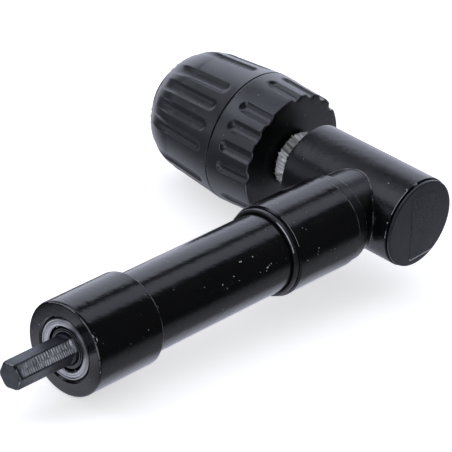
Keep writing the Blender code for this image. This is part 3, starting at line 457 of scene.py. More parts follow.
def shank_steel(name):
    """Dark steel with two rows of fine bite marks that a drill's jaws left on one flat."""
    m = material(name)
    x, y, z = m.axes()
    turn = m.math("SUBTRACT", m.math("ARCTAN2", z, m.math("SUBTRACT", y, HANDLE_Y * MM)),
                  math.radians(BITTEN_FLAT))
    on_flat = m.ramp(m.math("ABSOLUTE", turn), math.radians(23), math.radians(28), 1.0, 0.0,
                     smooth=True)
    between_rows = m.ramp(m.math("ABSOLUTE", m.math("SUBTRACT", turn, math.radians(2))),
                          math.radians(1), math.radians(4), 0.4, 1.0, smooth=True)
    where = m.plus(x, m.times(turn, BITE_LEAN * MM))
    where = m.plus(where, m.times(m.noise(260, 2.0), 0.9 * MM))
    rows = [m.math("SINE", m.times(where, math.tau / (pitch * MM))) for pitch in BITE_PITCHES]
    teeth = m.mixed(m.ramp(turn, math.radians(-1), math.radians(1)), *rows)
    uneven = m.ramp(m.noise(760, 4.0, 0.75), 0.40, 0.54, 0.2, 1.0, smooth=True)
    uneven = m.times(uneven, m.ramp(x, -152 * MM, -143 * MM, 0.25, 1.0))
    patchy = m.ramp(m.noise(330, 2.0), 0.42, 0.52, 0.3, 1.0)
    uneven = m.times(uneven, m.mixed(m.ramp(x, -147 * MM, -141 * MM), patchy, 1.0))
    bite = m.times(m.times(m.ramp(teeth, -0.15, 0.35, smooth=True), on_flat),
                   m.times(uneven, between_rows))
    stain = m.noise(170, 5.0, 0.6)
    fine = m.noise(1500, 3.0, 0.6, m.scaled((0.25, 2.0, 2.0)))
    beside = m.fade(x, BITE_END, BITE_START)
    scuffed = m.times(on_flat, beside)
    bite = m.times(bite, beside)
    color = m.mix(m.ramp(stain, 0.35, 0.7), SHANK_DARK, SHANK_LIGHT)
    spread = m.times(scuffed, m.ramp(m.noise(520, 4.0, 0.7), 0.4, 0.6, 0.2, 1.0))
    color = m.mix(spread, color, SHANK_SCUFFED)
    m.paint(m.mix(bite, color, SHANK_BITTEN), m.ramp(fine, 0.3, 0.7, 0.38, 0.52))
    m.bump(m.plus(m.times(bite, -1.0), m.times(fine, 0.15)), 0.6, 0.0002)
    m.connect(m.mixed(scuffed, 0.5, 0.1), "Metallic")
    return m.owner


FILM_WRINKLED = (5.0, 0.0, -10.5)


def clear_film(name):
    """Clear film: hardly darker than the cap under it, with a faint wrinkle at its lower corner."""
    m = material(name)
    corner = m.fade(m.distance(FILM_WRINKLED), 2.0, 6.0, 1.0, 0.12)
    wrinkle = m.times(m.noise(900, 3.0, 0.5, m.scaled((1.6, 1.0, 0.6))), corner)
    m.connect(m.ramp(m.noise(140, 3.0, 0.5), 0.3, 0.7, 0.10, 0.22), "Roughness")
    m.bump(wrinkle, 0.5, 0.0006)
    m.set(Base_Color=(0.06, 0.065, 0.08, 1), Alpha=0.35)
    return m.owner


EDGE_DARK = (0.006, 0.006, 0.007)


def edge_wear_and_highlight(name, edge_grey, start, end, scale):
    """Lighter grey along an edge over near-black paint, broken by noise. On the rounded edges, lips,
    seams, the crease bead and the film edge it is a painted highlight. Start and end set how much shows.
    """
    m = material(name)
    edge_share = m.ramp(m.noise(scale, 4.0, 0.7), start, end, smooth=True)
    m.paint(m.mix(edge_share, EDGE_DARK, (edge_grey, edge_grey, 1.02 * edge_grey)), m.mixed(edge_share, 0.22, 0.42))
    m.connect(m.times(edge_share, 0.4), "Metallic")
    return m.owner


ALONG_RIM = (2.2, 0.8, 0.8)
TUBE_CHIPS = (((-66.2, 10.6, 8.9), 0.22), ((-71.5, 10.8, 9.0), 0.24), ((-70.9, 10.7, 9.0), 0.22),
              ((-60.2, 8.2, 5.3), 0.22), ((-61.1, 8.1, 5.1), 0.15), ((-62.0, 7.9, 4.8), 0.32),
              ((-62.6, 7.7, 4.0), 0.18), ((-75.9, 8.9, 6.7), 0.26), ((-74.2, 8.0, 5.0), 0.18),
              ((-80.9, 8.5, 6.0), 0.2), ((-79.5, 7.8, 4.5), 0.2), ((-46.7, 5.3, 2.5), 0.2),
              ((-41.4, 5.8, 4.6), 0.26), ((-41.8, 5.6, 3.7), 0.16), ((-42.1, 5.4, 2.9), 0.16))
COLLAR_CHIPS = (((-133.7, 9.0, 9.7), 0.42, ALONG_RIM), ((-133.1, 8.2, 9.0), 0.36, ALONG_RIM),
                ((-133.7, 7.6, 8.3), 0.3, ALONG_RIM), ((-133.8, 5.7, 4.0), 0.3, ALONG_RIM),
                ((-133.7, 5.0, -0.6), 0.36, ALONG_RIM))
HEAD_CHIPS = (((-6.9, 9.0, 13.1), 0.24), ((-6.2, 2.4, 13.5), 0.28), ((-14.0, 2.1, 4.7), 0.25))

PAINT = gloss_black("gloss_black_paint", 0.15, 0.11, TUBE_CHIPS)
COLLAR_PAINT = gloss_black("gloss_black_paint_collar", 0.14, 0.11, COLLAR_CHIPS)
HEAD_PAINT = gloss_black("gloss_black_paint_head", 0.25, 0.13, HEAD_CHIPS)
# Lighter grey for the broken arcs on the head's rim
RIM_ARC_GREY = edge_wear_and_highlight("edge_wear_and_highlight", 0.75, 0.42, 0.52, 350.0)
# Painted highlight for rounded paint edges along the handle
EDGE_HIGHLIGHT = edge_wear_and_highlight("painted_highlight_edge", 0.24, 0.36, 0.62, 220.0)
# Painted highlight for the edges of the chuck's sleeves
SLEEVE_EDGE_HIGHLIGHT = edge_wear_and_highlight("painted_highlight_sleeve_edge", 0.34, 0.48, 0.60, 420.0)
# Painted highlight for the crease bead and the collar's front fillet
FILLET_HIGHLIGHT = edge_wear_and_highlight("crease_edge", 0.24, 0.40, 0.62, 180.0)
CAP_STEEL = turned_steel("satin_dark_steel_head", (0.052, 0.056, 0.068), 0.36, "spindle", 0.4,
                         3000, 0.05)
BRIGHT_RING = streaked_steel("bright_ring_steel", (0.86, 0.85, 0.82), 0.30)
BEARING_STEEL = turned_steel("bearing_steel", (0.50, 0.50, 0.51), 0.28, "handle", 1.0, bands=0.6)
RACE_EDGE = turned_steel("polished_race_edge", (0.42, 0.43, 0.45), 0.25, "handle")
# Nearly black steel: painted shade for the front bearing's inner race and the hub ring's neck
SHADE_DARK_STEEL = turned_steel("dark_steel_painted_shade", (0.030, 0.031, 0.036), 0.28, "handle", 0.5)
NOSE_STEEL = turned_steel("nose_steel", (0.20, 0.20, 0.21), 0.36, "spindle")
SERRATED_STEEL = turned_steel("serrated_steel", (0.40, 0.40, 0.42), 0.30, "spindle", 0.8)
GEAR_STEEL = worn_steel("gear_steel", (0.35, 0.34, 0.33), 0.34)
DARK_STEEL = worn_steel("dark_steel", (0.11, 0.12, 0.135), 0.38)
BALL_STEEL = worn_steel("ball_steel", (0.62, 0.62, 0.61), 0.18, 1.0)
PLASTIC = moulded_plastic("charcoal_plastic", CHARCOAL, 1.0)
# Same plastic, darker and less glossy: painted shade on the chuck's rear face, which the head shades
PLASTIC_PAINTED_SHADE = moulded_plastic("charcoal_plastic_painted_shade", SHADE_CHARCOAL, 0.2)
RUBBER = rubber("black_rubber")
SEAL_RUBBER = rubber("black_rubber_seal", 0.22)
# Painted highlight for the lips of the grip sleeve and the seal
LIP_HIGHLIGHT = edge_wear_and_highlight("painted_highlight_lip", 0.95, 0.34, 0.56, 150.0)
SHANK = shank_steel("shank_steel")
FILM = clear_film("clear_film")
# Painted highlight for the film's lower edge
FILM_HIGHLIGHT = edge_wear_and_highlight("painted_highlight_film", 0.75, 0.30, 0.50, 300.0)
TIP_EDGE = edge_wear_and_highlight("tip_edge", 0.30, 0.40, 0.60, 620.0)

SLOT_MATERIAL = {"black_paint": PAINT, "dark_steel": DARK_STEEL, "bright_steel": BALL_STEEL,
                 "gear_steel": GEAR_STEEL, "charcoal_plastic": PLASTIC, "black_rubber": RUBBER}


def finish(thing, look, body, slot, *nodes):
    """Gives a piece its material, its body and the CAD nodes it stands for."""
    thing.data.materials.clear()
    thing.data.materials.append(look)
    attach(thing, body)
    if nodes:
        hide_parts(*nodes)
    return thing


def paint_where(thing, look, test):
    """Second material on the faces whose centre and normal pass the test."""
    thing.data.materials.append(look)
    index = len(thing.data.materials) - 1
    for polygon in thing.data.polygons:
        if test(polygon.center / MM, polygon.normal):
            polygon.material_index = index


# Housing


BEAD_COUNT = 160
BEAD_RADIUS = 0.28
BEAD_SIDES = 8
HEAD_RING_STEP = 1.5
HEAD_SEGMENTS = 256
HEAD_SHARP = 18
# Bright broken arcs of the rim around the cap: start and end in degrees, and inset
BRIGHT_RIM_ARCS = ((98, 114, 0.1), (114, 150, 0.2), (172, 182, 0.2))


def spaced(start, end, step):
    count = max(2, int(math.ceil(abs(end - start) / step)) + 1)
    return [start + (end - start) * index / (count - 1) for index in range(count)]


def housing_bead(barrel_r, neck_r):
    """Thin bead in the crease where the neck meets the head."""
    centres = []
    for index in range(BEAD_COUNT):
        turn = math.tau * index / BEAD_COUNT
        z = neck_r * math.sin(turn)
        x = -math.sqrt(barrel_r * barrel_r - z * z)
        centres.append(Vector((x, HANDLE_Y + neck_r * math.cos(turn), z)))
    vertices = []
    loops = []
    for index, centre in enumerate(centres):
        way = (centres[(index + 1) % BEAD_COUNT] - centres[index - 1]).normalized()
        out = Vector((0, centre.y - HANDLE_Y, centre.z)).normalized()
        side = way.cross(out).normalized()
        out = side.cross(way).normalized()
        loops.append(list(range(len(vertices), len(vertices) + BEAD_SIDES)))
        for step in range(BEAD_SIDES):
            angle = math.tau * step / BEAD_SIDES
            point = centre + out * BEAD_RADIUS * math.cos(angle) + side * BEAD_RADIUS * math.sin(angle)
            vertices.append(tuple(point * MM))
    return mesh_object("bead", vertices, ring_faces(loops, True))


def head():
    """Barrel and neck in one."""
    low, high, barrel_r = on_spindle("head_housing")
    neck_r = on_handle("handle_tube").radius
    neck_end = on_handle("head_housing").high
    bore_r = on_spindle("bearing_ring_nut").radius + GAP
    body = turned("head_housing_fine", "spindle",
                  [(low, 0), (low, barrel_r - 0.45), (low + 0.35, barrel_r, 0.15),
                   *[(along, barrel_r) for along in spaced(low + 2, high - 2, HEAD_RING_STEP)],
                   (high - 0.8, barrel_r, 0.3), (high, barrel_r - 0.9, 0.3), (high, bore_r + 0.2),
                   (high - 0.3, bore_r), (high - 3.5, bore_r), (high - 3.5, 0)], HEAD_SEGMENTS)
    neck = turned("neck", "handle", [(6, 0), (6, neck_r), (neck_end, neck_r), (neck_end, 0)])
    cut(body, neck, "UNION")
    shade(body, HEAD_SHARP)
    join(body, housing_bead(barrel_r, neck_r))
    finish(body, HEAD_PAINT, "housing", "black_paint", "head_housing")
    # Lighter grey painted on the rim at the cap end, in broken arcs on its upper left only
    for start, end, inset in BRIGHT_RIM_ARCS:
        paint_where(body, RIM_ARC_GREY, lambda spot, way: low + inset < spot.y < low + 0.42 and
                    off_spindle(spot) > barrel_r - 0.3 and
                    start < math.degrees(math.atan2(spot.z, spot.x)) % 360 < end)
    # Painted highlight along the bead in the crease between neck and head
    paint_where(body, FILLET_HIGHLIGHT, lambda spot, way: off_spindle(spot) > barrel_r + 0.03 and
                off_handle(spot) > neck_r + 0.03)


def end_cap():
    low, high, disc_r = on_spindle("head_end_cap")
    rim_end = on_spindle("tail_bearing_outer_ring").low - GAP
    face = low + FILM_THICKNESS
    cap = turned("end_cap_fine", "spindle",
                 [(face, 0), (face, disc_r, 0.45), (rim_end, disc_r, 0.15), (rim_end, disc_r - 1.6),
                  (high, disc_r - 2.6), (high, 0)])
    finish(cap, CAP_STEEL, "housing", "dark_steel", "head_end_cap")
    paint_where(cap, PAINT, lambda spot, way: spot.y > rim_end - 0.02)


FILM_THICKNESS = 0.12
FILM_INSIDE = 0.975
FILM_CORNERS = ((-5.2, 10.8), (6.7, 9.7), (7.5, -11.9), (-3.4, -12.3))
FILM_ROUND = 1.0
FILM_STEPS = 6


def film():
    """Clear film on the cap's face, with rounded corners."""
    low = on_spindle("head_end_cap").low
    corners = [Vector(corner) for corner in FILM_CORNERS]
    outline = []
    for index, corner in enumerate(corners):
        first = corner + (corners[index - 1] - corner).normalized() * FILM_ROUND
        last = corner + (corners[(index + 1) % 4] - corner).normalized() * FILM_ROUND
        for step in range(FILM_STEPS + 1):
            share = step / FILM_STEPS
            outline.append((1 - share) ** 2 * first + 2 * share * (1 - share) * corner + share ** 2 * last)
    middle = sum(corners, Vector((0, 0))) / 4
    vertices = []
    for depth, share in ((low, FILM_INSIDE), (low, 1.0), (low + FILM_THICKNESS - 0.02, 1.0)):
        for point in outline:
            spot = middle + (point - middle) * share
            vertices.append((spot.x * MM, depth * MM, spot.y * MM))
    count = len(outline)
    loops = [list(range(start, start + count)) for start in (0, count, 2 * count)]
    faces = [loops[0], loops[2], *ring_faces(loops, False)]
    piece = finish(mesh_object("clear_film_label", vertices, faces), FILM, "housing", "dark_steel")
    # Painted highlight along the film's lower edge
    paint_where(piece, FILM_HIGHLIGHT, lambda spot, way: spot.z < -11.5 and way.y < -0.9)


def turn_of(spot):
    """Angle in degrees around the handle's axis, measured from +Y towards +Z."""
    return math.degrees(math.atan2(spot.z, spot.y - HANDLE_Y)) % 360


def paint_edge_highlights(thing, shoulder, *places):
    """Painted highlight on the rounded edges at these places along the handle."""
    paint_where(thing, EDGE_HIGHLIGHT, lambda spot, way: 0.3 < abs(way.x) < 0.95 and
                off_handle(spot) > shoulder and min(abs(-spot.x - edge) for edge in places) < 0.6)


NUT_BORE = 7.8


def ring_nut():
    low, high, outer = on_spindle("bearing_ring_nut")
    nut = turned("ring_nut_fine", "spindle", [(low, NUT_BORE), (low, outer), (high, outer, 0.2),
                                              (high, NUT_BORE + 0.4), (high - 0.4, NUT_BORE)])
    finish(nut, CAP_STEEL, "housing", "dark_steel", "bearing_ring_nut")


def housing_ring(node, look, corners, slot="black_paint"):
    """Piece turned on the handle, fixed to the housing and named after its node."""
    return finish(turned(node + "_fine", "handle", corners), look, "housing", slot, node)


def handle_parts():
    """Lock ring, grip sleeve, seal, tube and collar, from the head outward."""
    tube_start, tube_end, neck_r = on_handle("handle_tube")
    inside = neck_r + GAP
    low, high, ring_r = on_handle("neck_lock_ring")
    ring = housing_ring("neck_lock_ring", HEAD_PAINT, [(low, inside), (low, ring_r, 0.35),
                                                       (high, ring_r, 0.35), (high, inside)])
    paint_edge_highlights(ring, ring_r - 0.5, low, high)

    low, high, sleeve_r = on_handle("grip_sleeve")
    sleeve = housing_ring("grip_sleeve", PAINT, [
        (low, inside), (low, sleeve_r, 0.4), (high - 0.5, sleeve_r, 0.2), (high, sleeve_r - 0.5, 0.1),
        (high, neck_r + 1.0), (high - 0.35, neck_r + 0.85), (high - 0.35, inside)])
    paint_edge_highlights(sleeve, sleeve_r - 0.6, low)
    # Painted highlight on the upper right of the sleeve's front lip
    paint_where(sleeve, LIP_HIGHLIGHT, lambda spot, way: -0.65 < way.x < -0.3 and -spot.x > high - 0.7 and
                108 < turn_of(spot) < 150 and off_handle(spot) > sleeve_r - 0.6)

    low, high, seal_r = on_handle("sleeve_seal")
    seal = housing_ring("sleeve_seal", SEAL_RUBBER, [(low, inside), (low, seal_r), (high, seal_r, 0.4),
                                                     (high, inside)], "black_rubber")
    # Painted highlight on the upper right of the seal's lip
    paint_where(seal, LIP_HIGHLIGHT, lambda spot, way: -0.9 < way.x < -0.5 and 110 < turn_of(spot) < 155)

    bore = neck_r - 2.5
    housing_ring("handle_tube", PAINT, [(tube_start, bore), (tube_start, neck_r), (tube_end, neck_r),
                                        (tube_end, bore)])

    low, high, collar_r = on_handle("front_collar")
    bearing = on_handle("front_bearing_outer_ring")
    seat_r = bearing.radius + GAP
    floor_at = tube_end + GAP
    stop = bearing.low - GAP
    collar = housing_ring("front_collar", COLLAR_PAINT, [
        (low, inside), (low, collar_r, 0.45), (high, collar_r, 0.9), (high, seat_r + 0.55),
        (high - 0.55, seat_r, 0.1), (stop, seat_r), (stop, seat_r - 2.2), (floor_at, seat_r - 2.2),
        (floor_at, inside)])
    paint_edge_highlights(collar, collar_r - 0.6, low)
    # Painted highlight on the upper arc of the collar's front fillet
    paint_where(collar, FILLET_HIGHLIGHT, lambda spot, way: -0.85 < way.x < -0.6 and
                -spot.x > high - 1.0 and 60 < turn_of(spot) < 175)


# Face of the front bearing: depth below its end, depth below its outer radius, and fillet
SHIELD_FACE = ((0.3, 0, 0.15), (0, 0.3, 0.15), (0, 0.55, 0.15), (0.25, 0.85, 0.05), (0.15, 1.0),
               (0.15, 1.45), (0.23, 1.52), (0.15, 1.6), (0.2, 2.15, 0.2), (0.35, 2.4, 0.1),
               (0.6, 2.6), (1.1, 2.6), (1.1, 1.25))
SHAFT_SEAT = 5.0


def front_bearing():
    low, high, outer = on_handle("front_bearing_outer_ring")
    ring = turned("front_bearing_outer_fine", "handle",
                  [(low, outer, 0.3),
                   *[(high - back, outer - inward, *fillet) for back, inward, *fillet in SHIELD_FACE],
                   (low + 0.6, outer - 1.25), (low, outer - 1.2)])
    finish(ring, BEARING_STEEL, "housing", "bright_steel", "front_bearing_outer_ring")
    inner_r = on_handle("front_bearing_inner_ring").radius
    face = high - 0.45
    inner = turned("front_bearing_inner_fine", "handle",
                   [(low, SHAFT_SEAT), (low, inner_r, 0.1), (face - 0.3, inner_r, 0.1),
                    (face - 0.3, 5.7), (face, 5.65, 0.1), (face, SHAFT_SEAT, 0.2)])
    # Painted shade: the inner race is nearly black, standing in for the shade in the bearing's recess
    finish(inner, SHADE_DARK_STEEL, "input", "dark_steel", "front_bearing_inner_ring")
    paint_where(inner, RACE_EDGE, lambda spot, way: -0.95 < way.x < -0.3)


# Input shaft


HEX_FLATS = 8.0
HEX_CORNER = 4.53
SHAFT_COUNT = 240
SHAFT_RADIUS = 4.1
SHAFT_SHOULDER = 4.7
HEX_RINGS = 8
TIP_CURVE = 1.0
TIP_RINGS = 6
TIP_ROUNDER = 0.07
TIP_DROP = 0.13


def hex_radius(angle):
    """Radius of a hexagon with a flat that faces the bitten side."""
    sixth = math.pi / 3
    off = (angle - math.radians(BITTEN_FLAT) + sixth / 2) % sixth - sixth / 2
    return HEX_FLATS / 2 / math.cos(off)


def input_shaft():
    """Round shaft behind, then the hexagon with rounded corners and a curved tip."""
    inner, tip = on_handle("input_shaft")[:2]
    seat = on_handle("front_bearing_inner_ring").high
    turns = [math.tau * index / SHAFT_COUNT for index in range(SHAFT_COUNT)]

    def hexagon(along, corner, scale=1.0):
        return [(along, min(hex_radius(turn), corner) * scale, turn) for turn in turns]

    rings = [[(along, radius, turn) for turn in turns] for along, radius in (
        (inner, SHAFT_RADIUS), (seat - 5.3, SHAFT_RADIUS), (seat - 5.3, SHAFT_SHOULDER),
        (seat, SHAFT_SHOULDER), (seat + 0.25, 4.55))]
    start = seat + 0.45
    curve_at = tip - TIP_CURVE
    for step in range(HEX_RINGS + 1):
        rings.append(hexagon(start + (curve_at - start) * step / HEX_RINGS, HEX_CORNER))
    for step in range(1, TIP_RINGS + 1):
        angle = step / TIP_RINGS * math.pi / 2
        rings.append(hexagon(curve_at + TIP_CURVE * math.sin(angle),
                             HEX_CORNER * (1 - TIP_ROUNDER * step / TIP_RINGS),
                             1 - TIP_DROP * (1 - math.cos(angle))))
    shaft = shaped("input_shaft_fine", "handle", rings, False, sharp=24)
    finish(shaft, SHANK, "input", "dark_steel", "input_shaft")
    paint_where(shaft, TIP_EDGE, lambda spot, way: -spot.x > curve_at and 0.35 < -way.x < 0.85)


# Chuck


FLUTE_RADIUS = 2.6
FLUTE_DEPTH = 1.1
FLUTE_PITCH = 18.5
REAR_FIRST_FLUTE = 181.0
FRONT_FIRST_FLUTE = 174.0
REAR_FLUTE_END = 10.4
FRONT_FLUTE_START = 5.5
FRONT_FLUTE_STOP = 2.2
FRONT_FLUTE_FADE = 9.5
FLUTE_SOFTNESS = 0.05
FLUTE_FADED = 0.85


def flute_angles(first):
    """Four groups of four flutes."""
    return [math.radians(first - FLUTE_PITCH * flute + 90 * group)
            for group in range(4) for flute in range(4)]


def flute_depth(sideways, beyond):
    """Depth of a round bottomed trough, off its middle line and beyond its end, with a soft edge."""
    stand_off = FLUTE_RADIUS - FLUTE_DEPTH
    under = max(0.0, FLUTE_RADIUS ** 2 - sideways ** 2 - beyond ** 2)
    depth = math.sqrt(under) - stand_off
    if depth <= -0.6:
        return 0.0
    return 0.5 * (depth + math.sqrt(depth * depth + FLUTE_SOFTNESS ** 2))


def outline_normals(points):
    normals = []
    for index in range(len(points)):
        before = Vector(points[max(0, index - 1)])
        after = Vector(points[min(len(points) - 1, index + 1)])
        way = (after - before).normalized()
        normals.append(Vector((-way.y, way.x)))
    return normals


FLUTED_COUNT = 720


def fluted(name, outside, inside, angles, flute_from, flute_to, dome_from=math.inf,
           fade_from=math.inf):
    """Sleeve whose outside carries flutes. Outside and inside are lists of (along, radius).

    A flute is sunk straight towards the axis, and across the outline from where the dome starts.
    It gets shallower from where the fade starts to its end.
    """
    normals = [normal if along > dome_from else Vector((0, 1))
               for normal, (along, radius) in zip(outline_normals(outside), outside)]
    turns = [math.tau * index / FLUTED_COUNT for index in range(FLUTED_COUNT)]
    rings = []
    for (along, radius), normal in zip(outside, normals):
        beyond = max(0.0, flute_from - along, along - flute_to)
        share = 0.0
        if along > fade_from:
            share = min(1.0, (along - fade_from) / (flute_to - fade_from))
        strength = 1.0 - FLUTE_FADED * share * share * (3 - 2 * share)
        ring = []
        for angle in turns:
            off = min(abs((angle - flute + math.pi) % math.tau - math.pi) for flute in angles)
            depth = 0.0
            if beyond < FLUTE_RADIUS and off * radius < FLUTE_RADIUS:
                depth = flute_depth(off * radius, beyond) * strength
            ring.append((along - depth * normal.x, radius - depth * normal.y, angle))
        rings.append(ring)
    rings += [[(along, radius, angle) for angle in turns] for along, radius in inside]
    return shaped(name, "spindle", rings, True, sharp=40)


def quarter(steps):
    """Angles of a quarter turn."""
    return [math.pi / 2 * step / steps for step in range(steps + 1)]


def edge_from(low, radius, size, steps):
    """Rounded edge from the end face at low up to the radius."""
    return [(low + size - size * math.cos(turn), radius - size + size * math.sin(turn))
            for turn in quarter(steps)]


REAR_RADIUS = 21.65
REAR_BORE = 7.8
REAR_HOLLOW = 18.8
REAR_WALL = 2.8
SEAM_EDGE = 0.3


def rear_sleeve():
    low, high, seam_r = on_spindle("rear_sleeve")
    outside = edge_from(low, REAR_RADIUS, 0.5, 5)
    outside += [(along, REAR_RADIUS + (seam_r - REAR_RADIUS) * (along - low) / (high - low))
                for along in spaced(low + 0.75, high - 0.5, 0.3)]
    outside += [(high - SEAM_EDGE + SEAM_EDGE * math.sin(turn),
                 seam_r - SEAM_EDGE + SEAM_EDGE * math.cos(turn)) for turn in quarter(4)[1:]]
    inside = [(high, REAR_HOLLOW), (low + REAR_WALL, REAR_HOLLOW), (low + REAR_WALL, REAR_BORE),
              (low, REAR_BORE), (low, 19.0)]
    sleeve = fluted("rear_sleeve_fine", outside, inside, flute_angles(REAR_FIRST_FLUTE), low - 10,
                    low + REAR_FLUTE_END)
    finish(sleeve, PLASTIC, "chuck", "charcoal_plastic", "rear_sleeve")
    # Painted shade on the rear face and the bore
    paint_where(sleeve, PLASTIC_PAINTED_SHADE, lambda spot, way: way.y < -0.9 or
                off_spindle(spot) < REAR_BORE + 0.1)
    # Painted highlight along the rear sleeve's edge at the seam
    paint_where(sleeve, SLEEVE_EDGE_HIGHLIGHT, lambda spot, way: spot.y > high - SEAM_EDGE and
                off_spindle(spot) > seam_r - SEAM_EDGE - 0.01 and way.y > 0.2)


TAPER_LENGTH = 19.1
TAPER_RADIUS = 20.8
DOME_LENGTH = 15.0
DOME_DROP = 12.6


def dome_radius(along, low, seam_r):
    if along <= low + TAPER_LENGTH:
        return seam_r + (TAPER_RADIUS - seam_r) * (along - low) / TAPER_LENGTH
    share = min(1.0, (along - low - TAPER_LENGTH) / DOME_LENGTH)
    return TAPER_RADIUS - DOME_DROP * (1 - math.sqrt(1 - share * share))


def front_sleeve():
    low, high, seam_r = on_spindle("front_sleeve")
    end_r = dome_radius(high, low, seam_r)
    outside = edge_from(low, seam_r, SEAM_EDGE, 4)
    outside += [(along, dome_radius(along, low, seam_r))
                for along in [*spaced(low + 0.5, low + 16, 0.3), *spaced(low + 16.25, high - 0.15, 0.2)]]
    inside = [(high, end_r - 0.35), (high, 12.5), (high - 2.5, 12.5), (high - 2.5, 15.0),
              (low + 3, 18.6), (low, 18.9)]
    sleeve = fluted("front_sleeve_fine", outside, inside, flute_angles(FRONT_FIRST_FLUTE),
                    low + FRONT_FLUTE_START, high - FRONT_FLUTE_STOP, low + TAPER_LENGTH - 1,
                    high - FRONT_FLUTE_FADE)
    finish(sleeve, PLASTIC, "sleeve", "charcoal_plastic", "front_sleeve")
    # Painted highlight along the outer edge of the front sleeve's mouth
    paint_where(sleeve, SLEEVE_EDGE_HIGHLIGHT, lambda spot, way: spot.y > high - 0.5 and way.y > 0.3 and
                off_spindle(spot) > end_r - 0.4)


SERRATIONS = 40
SERRATION_STEPS = 12
SERRATION_DEPTH = 0.45
NOSE_RING_BORE = 12.4


def nose_ring():
    """Serrated ring in the front sleeve's mouth. A ring's share scales its notches."""
    low, high = on_spindle("nose_ring")[:2]
    sleeve = on_spindle("front_sleeve")
    outer_low = dome_radius(low, sleeve.low, sleeve.radius)
    outer_high = dome_radius(high, sleeve.low, sleeve.radius)
    count = SERRATIONS * SERRATION_STEPS
    rings = []
    for along, radius, share in ((low, outer_low - 0.2, 0.4), (low + 0.25, outer_low - 0.05, 1),
                                 (high - 0.3, outer_high + 0.15, 1), (high, outer_high - 0.3, 0.7),
                                 (high, NOSE_RING_BORE, 0), (low, NOSE_RING_BORE, 0)):
        ring = []
        for index in range(count):
            phase = (index % SERRATION_STEPS) / SERRATION_STEPS
            notch = SERRATION_DEPTH * share * (0.5 - 0.5 * math.cos(math.tau * phase)) ** 0.7
            ring.append((along, radius - notch, math.tau * index / count))
        rings.append(ring)
    ring = shaped("nose_ring_fine", "spindle", rings, True, sharp=40)
    finish(ring, SERRATED_STEEL, "chuck", "dark_steel", "nose_ring")


RATCHET_TEETH = 40
RATCHET_FIRST = 148.0
RATCHET_RISE = (0.4, 0.08, 0.15, 0.05, 0.12)
RATCHET_SPUR = (0.6, 0.2, 0.45, 0.1, 0.35)
RATCHET_STEPS = 10
HUB_BORE = 7.7
HUB_NECK = 8.3
HUB_NECK_LENGTH = 3.2


def hub_ring():
    """Bright ratchet ring on a narrower neck, which is painted nearly black as painted shade in the gap
    between the head and the chuck. Each tooth ends in a step and in a spur at the front.
    """
    low, high, outer = on_spindle("hub_ring")
    neck_end = low + HUB_NECK_LENGTH
    body = outer - max(RATCHET_RISE)
    count = RATCHET_TEETH * RATCHET_STEPS
    tops = []
    fronts = []
    for index in range(count):
        tooth, step = divmod(index, RATCHET_STEPS)
        phase = step / (RATCHET_STEPS - 1)
        tops.append(body + RATCHET_RISE[tooth % len(RATCHET_RISE)] * (1 - phase))
        fronts.append(high - 0.85 + RATCHET_SPUR[tooth % len(RATCHET_SPUR)] * (1 - phase) ** 2)
    rows = [[(low, HUB_BORE)] * count, [(low, HUB_NECK)] * count, [(neck_end, HUB_NECK)] * count,
            [(neck_end + 0.15, top - 0.75) for top in tops],
            [(front - 0.2, top) for front, top in zip(fronts, tops)],
            [(front, top - 0.2) for front, top in zip(fronts, tops)],
            [(front, HUB_BORE) for front in fronts]]
    turns = [math.radians(RATCHET_FIRST) + math.tau * index / count for index in range(count)]
    rings = [[(along, radius, turn) for (along, radius), turn in zip(row, turns)] for row in rows]
    piece = shaped("hub_ring_fine", "spindle", rings, True, sharp=35)
    finish(piece, BRIGHT_RING, "chuck", "bright_steel", "hub_ring")
    # Painted shade: the neck is nearly black, standing in for the shadow between the head and the chuck
    paint_where(piece, SHADE_DARK_STEEL, lambda spot, way: spot.y < neck_end + 0.02)


JAW_TIP = 98.7
JAW_OUT = 5.7
JAW_TILT = math.radians(17)
JAW_RADIUS = 3.2
JAW_LENGTH = 28
JAW_BORE = 3.5
JAW_FLAT = 0.7
JAW_RIDGE = 0.5
WEDGE = math.pi / 3


def jaw_matrix(index):
    """Frame of one jaw in millimetres: Z along its slide, X away from the spindle's axis."""
    around = Matrix.Rotation(math.tau * index / 3, 4, "Z")
    place_tip = Matrix.Translation((JAW_OUT, 0, JAW_TIP))
    to_row = Matrix.Rotation(-math.pi / 2, 4, "X")
    return to_row @ around @ place_tip @ Matrix.Rotation(-JAW_TILT, 4, "Y")


def chuck_nose():
    """The chuck's body: neck, flange, nose face, mouth and the three tilted bores."""
    low, high = on_spindle("chuck_body")[:2]
    body = turned("chuck_body_fine", "spindle",
                  [(low, 5.1), (low, 7.4), (low + 10.6, 7.4), (low + 10.6, 18.3),
                   (low + 17.5, 18.3), (low + 17.5, 14.0), (82.0, 14.0), (94.0, 11.6),
                   (98.3, 11.6), (98.3, 12.1), (high, 12.1, 0.8), (high, 5.3, 0.9),
                   (low + 23.5, 5.3), (low + 17.9, 5.1)], segments=96)
    for index in range(3):
        bore = turned("bore", "spindle", [(-28.3, 0), (-28.3, JAW_BORE), (28, JAW_BORE), (28, 0)],
                      segments=48)
        to_tilt = Matrix.Scale(MM, 4) @ jaw_matrix(index) @ Matrix.Rotation(math.pi / 2, 4, "X")
        bore.data.transform(to_tilt @ Matrix.Scale(1 / MM, 4))
        cut(body, bore)
    shade(body)
    for polygon in body.data.polygons:
        polygon.use_smooth = abs(polygon.normal.y) < 0.999
    finish(body, NOSE_STEEL, "chuck", "gear_steel", "chuck_body")


